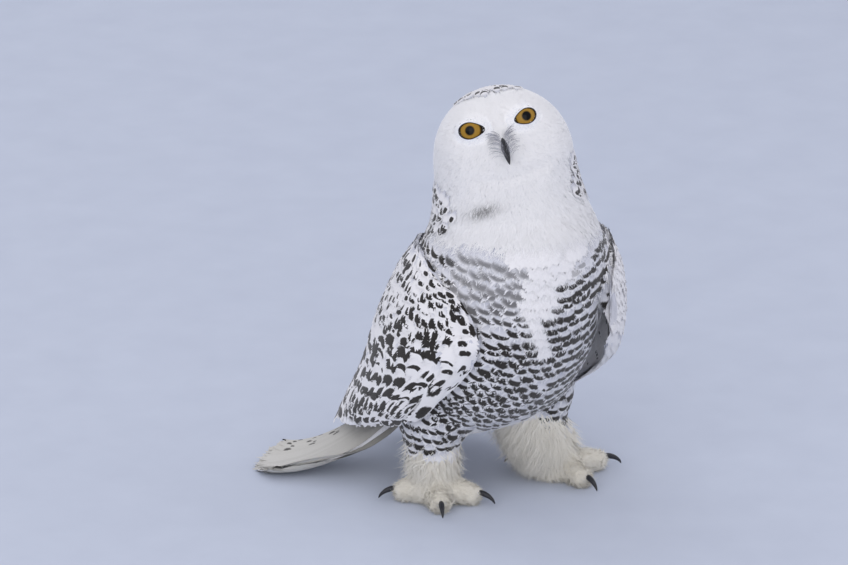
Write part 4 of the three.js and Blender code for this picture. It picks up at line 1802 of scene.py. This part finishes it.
# ---- Contour feathers -----------------------------------------------------------------------
@dataclass
class BodyCoat:
    """Rows of contour feathers round the breast, belly, flanks, thighs and back."""

    owl: Owl
    row_gap: float = 10.4
    root_gap: float = 12.2
    arch_top: float = 420.0  # the height that the rows curve round
    arch_reach: float = 75.0
    girth: float = 95.0  # the body's radius, for distances round it
    parting: float = 10.0  # how far to the right the breast's parting lies low down, in degrees
    shorter: float = 0.8  # the length of the underside's feathers, as a share of the others'
    feather: Kind = Kind(
        Vane(barbs=18, fray=0.14, barb_reach=0.22, barb_height=0.2, camber=0.3, solid=0.8),
        33.0, 23.0, lift=0.2, tilt=0.2, vary=0.04,
    )

    def rows_at(self, point: Array) -> tuple[Array, Array, Array]:
        """Where points lie in the rows.

        Args:
            point: places on the body.

        Returns:
            The distance round the body from the breast's midline, the distance down the rows,
            and the angle from the midline in degrees.
        """
        angle = self.owl.torso.angle_of(point)
        angle = angle + math.radians(self.parting) * ramp(point[:, 2], 250.0, 190.0)
        round_body = self.girth * angle
        bent = self.arch_reach * np.tanh(round_body / self.arch_reach)
        down = np.hypot(bent, self.arch_top - point[:, 2])
        return round_body, down, np.degrees(angle)

    def barring(self, point: Array) -> Array:
        """How dark the bars are: none on the bib and the midline, full on belly and flanks."""
        _, _, degrees = self.rows_at(point)
        side = np.abs(degrees)
        z = point[:, 2]
        gap = 5.0 * ramp(z, 152.0, 186.0) + 7.5 * ramp(z, 190.0, 228.0)
        top = np.where(degrees < 0, 262.0, 246.0) + 40.0 * ramp(side, 20.0, 68.0)
        return ramp(z, top, top - 16.0) * ramp(side, gap - 1.0, gap + 4.0) * ramp(z, 42.0, 52.0)

    def faintness(self, point: Array) -> Array:
        """How soft and grey the bars are: only high on the right of the breast."""
        _, _, degrees = self.rows_at(point)
        right = ramp(degrees, -4.0, -10.0) * ramp(degrees, -70.0, -60.0)
        return right * ramp(point[:, 2], 185.0, 240.0)

    def roots(self, chosen: Array) -> Sites:
        """The feathers' roots, staggered from row to row.

        Args:
            chosen: the surface's points that may carry one.

        Returns:
            The roots.
        """
        surface = self.owl.surface
        index = np.flatnonzero(chosen)
        round_body, down, _ = self.rows_at(surface.point[index])
        tree = point_tree(np.stack([round_body, down, 0 * down], 1))
        found = []
        for k, row in enumerate(np.arange(down.min(), down.max(), self.row_gap)):
            for a in np.arange(-310.0, 310.0, self.root_gap) + self.root_gap / 2 * (k % 2):
                da, db = DICE.uniform(-2.1, 2.1, 2)
                _, i, gap = tree.find((a + da, row + db, 0.0))
                if gap < 2.6:
                    found.append(index[i])
        found = np.unique(found)
        return surface.sites_near(surface.point[found])

    def build(self, white: Material, barred: Material) -> None:
        """Makes the breast and belly, the back, and the plain underside.

        Args:
            white: the finish of the white feathers.
            barred: the finish of the barred ones.
        """
        owl = self.owl
        surface = owl.surface
        z = surface.point[:, 2]
        body = surface.owned_by("trunk", "thigh", "neck") & (z < 292)
        outer = body & (owl.facing() > 0.05) & (surface.normal[:, 2] > -0.8) & (z > 60)
        sites = self.roots(outer)
        length, half = self.feather.sizes(len(sites))
        low = ramp(sites.point[:, 2], 140.0, 70.0)
        length, half = length * (1 - 0.25 * low), half * (1 - 0.3 * low)
        drape = Drape.over(surface, sites, length, half)
        root, tip = drape.point[:, 0, 1], drape.point[:, 3, 1]
        hidden = owl.covered(root, drape.normal[:, 0, 1]) & owl.covered(tip, drape.normal[:, 3, 1])
        full, faint = self.barring(tip), self.faintness(tip)
        marked = DICE.random(len(sites)) < 0.06 + 0.92 * full
        strength = marked * (0.35 + 0.65 * ramp(full, 0.1, 0.7)) * (1 - 0.3 * faint) * (full > 0.01)
        marks = Marks.of(
            len(sites), 0.2, centre_v=0.82, half_v=0.094, half_u=0.92, strength=strength,
            bow=-0.12, soft=0.16 + 0.5 * faint,
        )
        some = 1.0 - ramp(sites.point[:, 2], 236.0, 252.0)
        spots = Marks.of(
            len(sites), 0.4, centre_v=0.78, half_v=0.1, half_u=0.55, bow=-0.1, strength=some
        )
        front = np.abs(self.rows_at(drape.point[:, 2, 1])[2]) < 105
        pale = front & (full < 0.3)
        shown = ~hidden & drape.smooth(0.55)
        for name, wanted, mark, finish in (
            ("breast_feathers", front & ~pale, marks, barred),
            ("parting_feathers", pale, marks, white),
            ("back_feathers", ~front, spots, white),
        ):
            piece = CoatPiece(name)
            self.feather.lay(piece, drape.only(wanted & shown), mark.only(wanted & shown))
            piece.write(finish)

        under = CoatPiece("underside_feathers")
        short = replace(self.feather, length=self.shorter * self.feather.length)
        everywhere = -2.0
        below = 0.06 * (surface.owned_by("trunk") & ~outer)
        short.scatter(under, owl, below, everywhere, lambda sites: {"strength": 0.0})
        under.write(white)


# ---- Wings and tail -------------------------------------------------------------------------
@dataclass
class Lattice:
    """A smooth grid of points over a wing or the tail: s runs round it and d along it."""

    point: Array  # by s and d, both evenly from 0 to 1
    sign: float = 1.0  # which side of the grid is its outer face

    def face_out(self, out: Array) -> "Lattice":
        """Makes the grid's normals point, on the whole, the way of out."""
        across = self.point[1:, :-1] - self.point[:-1, :-1]
        along = self.point[:-1, 1:] - self.point[:-1, :-1]
        self.sign = float(np.sign((np.cross(across, along) * out).sum()))
        return self

    @classmethod
    def cast(cls, tree: BVHTree, axis: Array, out: Array, reach: float, second: bool = False) -> "Lattice":
        """Finds the grid where rays from outside meet a node, or the node's nearest points.

        Args:
            tree: a search tree over the node.
            axis: the points inside the body that the rays run to, by s and d.
            out: the directions from there outwards.
            reach: roughly how far from there the node lies.
            second: True for the node's inner face.

        Returns:
            The grid.
        """
        point = np.zeros_like(axis)
        for index in np.ndindex(axis.shape[:2]):
            middle, way = Vector(axis[index]), Vector(out[index])
            hit = tree.ray_cast(middle + 2.6 * reach * way, -way, 2.2 * reach)[0]
            if hit is not None and second:
                hit = tree.ray_cast(hit - 0.5 * way, -way, reach)[0] or hit
            if hit is None:
                hit = tree.find_nearest(middle + reach * way)[0]
            point[index] = hit[:]
        for _ in range(3):
            point[1:-1] = 0.5 * point[1:-1] + 0.25 * (point[:-2] + point[2:])
            point[:, 1:-1] = 0.5 * point[:, 1:-1] + 0.25 * (point[:, :-2] + point[:, 2:])
        return cls(point)

    def at(self, s: Array, d: Array) -> Array:
        """The points at some places, run on in a straight line past the grid's edges."""
        found = self.point
        size_s, size_d = found.shape[0] - 1, found.shape[1] - 1
        i = np.clip(np.floor(s * size_s), 0, size_s - 1).astype(int)
        j = np.clip(np.floor(d * size_d), 0, size_d - 1).astype(int)
        a = np.clip(s * size_s - i, -1.0, 2.0)[..., None]
        b = np.clip(d * size_d - j, -1.0, 2.5)[..., None]
        near = found[i, j] * (1 - b) + found[i, j + 1] * b
        far = found[i + 1, j] * (1 - b) + found[i + 1, j + 1] * b
        return near * (1 - a) + far * a

    def frame_at(self, s: Array, d: Array) -> tuple[Array, Array, Array, Array]:
        """Places on the grid and how it runs there.

        Args:
            s: places round it.
            d: places along it.

        Returns:
            The points, the unit directions out of the grid, and the millimetres for each unit of
            s and of d.
        """
        step = 0.02
        sideways = (self.at(s + step, d) - self.at(s - step, d)) / (2 * step)
        along = (self.at(s, d + step) - self.at(s, d - step)) / (2 * step)
        normal = self.sign * unit(np.cross(sideways, along))
        fast = [np.maximum(np.linalg.norm(way, axis=-1), 20.0) for way in (sideways, along)]
        return self.at(s, d), normal, *fast

    def drape(
        self, root: tuple[Array, Array], tip: tuple[Array, Array], half: Array, owl: Owl
    ) -> Drape:
        """Lays feathers over the grid.

        Args:
            root: each root's s and d.
            tip: each tip's s and d.
            half: half widths in millimetres.
            owl: the owl, for the unwrapped map.

        Returns:
            The control grids.
        """
        rows, normals = [], []
        for t in np.linspace(0.0, 1.0, 4):
            s = root[0] + (tip[0] - root[0]) * t
            d = root[1] + (tip[1] - root[1]) * t
            _, _, fast_s, fast_d = self.frame_at(s, d)
            way_s, way_d = (tip[0] - root[0]) * fast_s, (tip[1] - root[1]) * fast_d
            size = np.hypot(way_s, way_d) / half
            row, facing = [], []
            for side in (-1, 0, 1):
                beside_s, beside_d = side * way_d / size / fast_s, side * way_s / size / fast_d
                place, normal, _, _ = self.frame_at(s + beside_s, d - beside_d)
                row.append(place)
                facing.append(normal)
            rows.append(np.stack(row, 1))
            normals.append(np.stack(facing, 1))
        point, normal = np.stack(rows, 1), np.stack(normals, 1)
        if self.sign < 0:
            point, normal = point[:, :, ::-1], normal[:, :, ::-1]
        uv = owl.surface.sites_near(point[:, 0, 1]).uv
        return Drape(point, normal, uv)


@dataclass
class Wing:
    """One folded wing: rows of coverts over the flight feathers, and plain lining inside."""

    owl: Owl
    side: Side
    level: tuple[float, ...] = (262, 245, 205, 170, 135, 104)
    front: tuple[float, ...] = (80, 60, 45, 48, 66, 84)  # angle from the breast at each level
    back: tuple[float, ...] = (132, 156, 170, 174, 176, 176)
    drop: float = 60.0  # how much lower the wing hangs at its back
    reach: float = 105.0  # roughly how far from the body's middle it lies
    front_drop: float = 0.1  # how much further down the feathers of its front edge reach
    back_drop: float = 0.06  # the same for those at its back
    loose: float = 0.024  # how unevenly the feathers of a row end
    steps: int = 33
    long: Vane = Vane(0.8, 2.6, 0.7, rows=12, barbs=34, barb_reach=0.09, fray=0.03, camber=0.9)
    covert: Vane = Vane(0.66, 2.4, 0.5, rows=8, barbs=15, fray=0.05)
    small: Vane = Vane(0.62, 2.2, 0.5, rows=6, barbs=9, barb_reach=0.24)

    def __post_init__(self) -> None:
        """Finds the wing's outer face, and how much of each row is plain."""
        far = self.side is Side.LEFT
        forward, lower = (15.0, 12.0) if far else (0.0, 0.0)  # how the far wing hangs loose
        self.plain = 0.25 if far else -1.0  # no marks ahead of here
        self.edge_plain = 0.88 if far else 0.6
        s, d = np.meshgrid(
            np.linspace(0.015, 0.985, self.steps), np.linspace(0.03, 0.985, self.steps), indexing="ij"
        )
        level = self.level[0] + (self.level[-1] - self.level[0]) * d
        front = np.interp(level, self.level[::-1], self.front[::-1]) - forward * d
        back = np.interp(level, self.level[::-1], self.back[::-1])
        angle = self.side.value * np.radians(front + (back - front) * s)
        fall = 1 - (1 - np.minimum(1, s / 0.75)) ** 1.5
        out = self.owl.torso.outwards(level, angle)
        start = self.owl.torso.axis(level)
        start[..., 2] = level - (lower + self.drop * fall) * d
        tree = self.owl.wings[self.side]
        self.outer = Lattice.cast(tree, start, out, self.reach).face_out(out[:-1, :-1])

    def row(
        self, piece: CoatPiece, kind: Kind, tip_d: float,
        marks: Callable[[Array, Array], Given], over: float, gap: float = 0.62,
        lean: float = 0.1,
    ) -> None:
        """Adds one row of feathers across the wing.

        Args:
            piece: the piece that they go into.
            kind: the kind of feather.
            tip_d: how far down the wing its tips reach.
            marks: a function from the tips' s and d to their marks.
            over: how far the row lies over the ones under it.
            gap: the distance between feathers, as a share of their width.
            lean: how far tips lie behind their roots, as a share of their length.
        """
        face = self.outer
        _, _, speed, _ = face.frame_at(np.array([0.5]), np.array([min(tip_d, 0.95)]))
        count = max(2, round(speed[0] / (kind.width * gap)))
        s = (np.arange(count) + 0.5 + DICE.uniform(-0.2, 0.2, count)) / count
        d = tip_d + self.loose * DICE.uniform(-1, 1, count)
        d = d + self.front_drop * ramp(s, 0.4, 0.05) * ramp(np.array(tip_d), 0.5, 1.0)
        d = d + self.back_drop * ramp(s, 0.7, 0.95) * ramp(np.array(tip_d), 0.8, 0.95)
        length, half = kind.sizes(count)
        reach = np.linalg.norm(face.at(s, d) - face.at(s, d - 0.1), axis=1) / 0.1
        root_d = d - length / reach
        _, _, fast, _ = face.frame_at(s, d)
        root_s = np.maximum(s - lean * length / fast, np.minimum(s, 0.0))
        made = Marks.of(count, **marks(s, d))
        drape = face.drape((root_s, root_d), (s, d), half, self.owl)
        kind.lay(piece, drape, made, over)

    def rim(self) -> Array:
        """Which of the surface's points lie on the wing's edges, away from its outer face."""
        surface = self.owl.surface
        index = np.flatnonzero(surface.owned_by(f"wing_{self.side.word}"))
        tree = point_tree(self.outer.point[1:-1, 1:-1].reshape(-1, 3))
        far = [5.0 < tree.find(place)[2] < 20.0 for place in surface.point[index].tolist()]
        chosen = np.zeros(len(surface.point))
        chosen[index[np.array(far)]] = 1.0
        return chosen

    def barred(self, s: Array, d: Array) -> Given:
        """How flight feathers are marked: a row of bars down each."""
        return {"centre_v": 0.87, "half_v": 0.047, "half_u": 0.74, "beat": 0.15, "clear_tip": 0.95,
                "strength": 1.0 * (s > self.plain)}

    def blotched(self, s: Array, d: Array) -> Given:
        """How the larger coverts are marked: a broad, uneven blotch across each."""
        some = 1.0 * (DICE.random(len(s)) > 0.08) * (s > self.plain)
        ahead = ramp(s, 0.14, 0.06)
        return {"centre_v": 0.78 + 0.1 * ahead, "half_v": 0.12 - 0.03 * ahead,
                "half_u": 0.86 - 0.5 * ahead, "bow": 0.14, "unevenness": 0.45, "strength": some}

    def streaked(self, s: Array, d: Array) -> Given:
        """How the longest coverts are marked: a long streak down each."""
        return self.blotched(s, d) | {"half_v": 0.17, "half_u": 0.5, "bow": 0.0, "unevenness": 0.3}

    def flecked(self, s: Array, d: Array) -> Given:
        """How the small coverts are marked: ovals by the wrist, thin streaks at the back."""
        pale = hill(s, 0.45, 0.22) * hill(d, 0.22, 0.1)
        pale = np.maximum(pale, ramp(s, 0.4, 0.3) * ramp(d, 0.16, 0.08))
        back = ramp(s, 0.62, 0.8)
        some = (DICE.random(len(s)) > 0.08 + 0.3 * pale) * (s > self.plain)
        slim = (1 - 0.45 * back) * (1 - 0.6 * pale)
        return {"centre_v": 0.72, "half_v": 0.17 + 0.1 * back, "half_u": 0.62 * slim,
                "unevenness": 0.35, "strength": some}

    def toothed(self, sites: Sites) -> Given:
        """How the wing's edges are marked: a small tooth on some feathers."""
        some = 1.0 * (DICE.random(len(sites)) > self.edge_plain)
        return {"centre_v": 0.76, "half_v": 0.11, "half_u": 0.5, "strength": some}

    def build(self, white: Material, lining: Material) -> None:
        """Makes the wing's feathers.

        Args:
            white: the finish of its outer face.
            lining: the finish of its inner face.
        """
        name, surface = self.side.word, self.owl.surface
        flight = CoatPiece(f"flight_feathers_{name}")
        secondary = Kind(self.long, 105.0, 27.0, depth=1.0, lift=0.2, tilt=0.8, smooth=0.6)
        for tip_d, over in ((0.93, 0.0), (0.985, 0.5), (1.01, 1.0)):
            self.row(flight, secondary, tip_d, self.barred, over)
        greater = Kind(self.covert, 50.0, 25.0, depth=1.0, lift=0.3, tilt=0.8)
        self.row(flight, greater, 0.86, self.streaked, 1.2, gap=0.42)
        self.row(flight, greater, 0.77, self.blotched, 1.4, lean=0.25)
        flight.write(white)

        coverts = CoatPiece(f"coverts_{name}")
        median = Kind(self.covert, 38.0, 24.0, depth=0.6, lift=0.4, tilt=0.7)
        for tip_d, over in ((0.69, 1.6), (0.61, 1.7), (0.53, 1.9), (0.45, 2.1)):
            self.row(coverts, median, tip_d, self.blotched, over, gap=0.75, lean=0.55)
        lesser = Kind(self.small, 25.0, 14.0, depth=0.5, lift=0.5, tilt=0.6)
        for i, tip_d in enumerate(np.linspace(0.39, 0.06, 9)):
            self.row(coverts, lesser, float(tip_d), self.flecked, 2.3 + 0.1 * i, lean=0.4)
        coverts.write(white)

        margin = CoatPiece(f"margin_{name}")
        edge = Kind(self.small, 27.0, 15.0, depth=0.9, lift=0.3, tilt=0.3, smooth=0.85)
        edge.scatter(margin, self.owl, 0.09 * self.rim(), 0.55, self.toothed)
        margin.write(white)

        under = CoatPiece(f"lining_{name}")
        inside = surface.owned_by(f"wing_{name}") * (self.owl.facing() < 0.1)
        soft = Kind(self.covert, 36.0, 21.0, depth=0.7, lift=0.2, tilt=0.15, smooth=0.95)
        soft.scatter(under, self.owl, 0.06 * inside, 0.72, lambda sites: {"strength": 0.0})
        under.write(lining)


@dataclass
class Tail:
    """Tail feathers above and below, cream-white with a few dark bars near the upper edge."""

    owl: Owl
    count: int = 18
    line_x: tuple[float, ...] = (-14.0, -46.0, -82.0, -118.0)  # from the line under the body
    line_y: tuple[float, ...] = (104.0, 138.0, 176.0, 230.0)
    root_half: float = 29.0
    tip_half: float = 37.0
    steps: int = 21
    feather: Kind = Kind(
        Vane(0.9, 2.8, 0.7, rows=14, barbs=52, barb_reach=0.09, barb_height=0.3, fray=0.12,
             camber=1.0, solid=0.9),
        150.0, 13.0, depth=0.3, lift=0.0, tilt=1.0, smooth=0.3,
    )

    def faces(self) -> list[Lattice]:
        """The tail's upper and lower faces."""
        foot = self.owl.torso.axis(np.array([54.0]))[0] - np.array([0.0, self.owl.torso.behind[0], 54.0])
        s, d = np.meshgrid(
            np.linspace(-1, 1, self.steps), np.linspace(0.02, 0.985, self.steps), indexing="ij"
        )
        part = np.linspace(0.0, 1.0, len(self.line_x))
        line = np.stack([np.interp(d, part, self.line_x), np.interp(d, part, self.line_y), 0 * d], 2) + foot
        beside = np.cross(UP, unit(np.gradient(line, axis=1)))
        flat = line + beside * (s * (self.root_half + (self.tip_half - self.root_half) * d))[..., None]
        flat[..., 2] = -45.0  # so that the rays run on down to the floor
        tree, up = node_tree("tail"), np.broadcast_to(UP, flat.shape)
        top = Lattice.cast(tree, flat, up, 100.0).face_out(UP)
        return [top, Lattice.cast(tree, flat, up, 100.0, second=True).face_out(-UP)]

    def build(self, white: Material) -> None:
        """Makes the tail.

        Args:
            white: its finish.
        """
        piece = CoatPiece("tail_feathers")
        at = (np.arange(self.count) + 0.5) / self.count
        for face in self.faces():
            marks = Marks.of(
                self.count, centre_v=0.84, half_v=0.02, half_u=0.6, beat=0.16, clear_tip=0.93,
                strength=0.9 * (at < 0.26), soft=0.2,
            )
            _, half = self.feather.sizes(self.count)
            short = 0.04 * np.abs(2 * at - 1) ** 2 + DICE.uniform(0.0, 0.07, self.count)
            fan = 0.5 + (at - 0.5) * 1.1
            drape = face.drape((at, 0 * at), (fan, 1.09 - short), half, self.owl)
            self.feather.lay(piece, drape, marks, 0.4)
        piece.write(white)


# ---- Stage ----------------------------------------------------------------------------------
@dataclass(frozen=True)
class Studio:
    """A plain pale floor, plain soft light and the camera."""

    azimuth: float = -50.0
    elevation: float = 20.0
    distance: float = 6000.0
    lens: float = 254.7
    aim: tuple[float, float, float] = (4.4, 36.9, -16.8)  # from the middle of the whole owl

    def back(self) -> Array:
        """The direction from the owl to the camera."""
        a, e = math.radians(self.azimuth), math.radians(self.elevation)
        return np.array([math.sin(a) * math.cos(e), -math.cos(a) * math.cos(e), math.sin(e)])

    def build(self) -> None:
        """Makes the floor, the lights and the camera."""
        scene = bpy.context.scene
        floor = new_mesh(
            "floor",
            np.array([[-9000.0, -9000, 0], [9000, -9000, 0], [9000, 9000, 0], [-9000, 9000, 0]]),
            np.array([[0, 1, 2, 3]]),
        )
        floor.materials.append(MattGround().build())
        ground = bpy.data.objects.new("floor", floor)
        scene.collection.objects.link(ground)
        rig.stage(ground)

        low, high = (np.array(corner) / MM for corner in CAD_BOX)
        target = (low + high) / 2 + np.array(self.aim)
        camera = bpy.data.objects.new("camera", bpy.data.cameras.new("camera"))
        camera.data.lens = self.lens
        camera.data.clip_end = 100.0
        camera.location = (target + self.distance * self.back()) * MM
        camera.rotation_euler = Vector(-self.back()).to_track_quat("-Z", "Y").to_euler()
        scene.collection.objects.link(camera)
        scene.camera = camera

        for name, at, size, power, colour in (
            ("key", (-2200, -500, 2000), 2.4, 15.0, (1.0, 0.985, 0.96)),
            ("front", (-2000, -1900, 800), 2.6, 24.0, (1.0, 0.99, 0.985)),
            ("fill", (1900, -1500, 1500), 2.5, 9.0, (0.97, 0.97, 1.0)),
            ("back", (600, 2100, 2200), 2.2, 11.0, (0.95, 0.97, 1.0)),
        ):
            light = bpy.data.lights.new(name, "AREA")
            light.size, light.energy, light.color = size, power, colour
            lamp = bpy.data.objects.new(name, light)
            lamp.location = Vector(at) * MM
            lamp.rotation_euler = (Vector(target * MM) - lamp.location).to_track_quat("-Z", "Y").to_euler()
            scene.collection.objects.link(lamp)

        world = bpy.data.worlds.new("soft_light")
        world.use_nodes = True
        sky = world.node_tree.nodes["Background"]
        sky.inputs["Color"].default_value = linear("e3e4ee")
        sky.inputs["Strength"].default_value = 0.9
        scene.world = world
        scene.view_settings.view_transform = "Standard"


def main() -> None:
    """Builds the owl, piece by piece, and the studio round it."""
    logging.basicConfig(level=logging.INFO, format="%(name)s: %(message)s")
    Studio().build()
    owl = Owl()
    surface = owl.surface
    log.info("surface: %d points, %d quads", len(surface.point), len(surface.quad))
    white = FeatherKeratin("white_feather").build()
    # Painted shadow: the barred feathers' deep blue-grey root shade reaches the whole feather, shading the white just
    # under each overlying bar.
    barred = FeatherKeratin("barred_feather", white="e9e8ea", shade="8289a0", shade_reach=1.05).build()
    # Painted light: the down is a lighter copy of the white feather, to offset the shade its tufts cast on one
    # another.
    down_painted_lighter = FeatherKeratin("white_down", white="fbfafa", shade="eceef2", shade_reach=0.5, bump=0.0).build()
    cream = FeatherKeratin("cream_feather", white="f3efe4", shade="d5cfc0", shade_reach=0.6).build()
    # Painted light: the lining is a whiter copy of the white feather, to offset the shade between wing and body.
    lining = FeatherKeratin("lining_feather", white="f4f3f3", shade="d4d4d9").build()
    # The tail's grey cream is partly its own colour and partly painted shade from the wing above it.
    tail = FeatherKeratin("tail_feather", white="cbc9c3", shade="97958e", shade_reach=1.0).build()
    eyes = Eyes(owl)
    eyes.build(WetEye())
    bristle = FeatherKeratin("grey_bristle", white="9d9ea8", shade="8b8c96", bump=0.0)
    Bill(owl).build(HornKeratin("bill_horn", tone="0e0e11", fleck="26262d"), bristle)
    Claws().build(HornKeratin("claw_horn", tone="101012", fleck="35363c"))

    HeadCoat(owl, eyes).build(down_painted_lighter, white)
    Trousers(owl, eyes).build(cream)
    BodyCoat(owl).build(white, barred)
    for side in Side:
        Wing(owl, side).build(white, lining)
    Tail(owl).build(tail)
    Skin(owl, eyes).build(DownySkin(), LidSkin())
    low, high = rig.bounds()
    with open("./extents.json", "w") as file:
        json.dump({"cad": [list(c) for c in CAD_BOX], "visual": [list(low), list(high)]}, file)


if __name__ == "__main__":
    main()
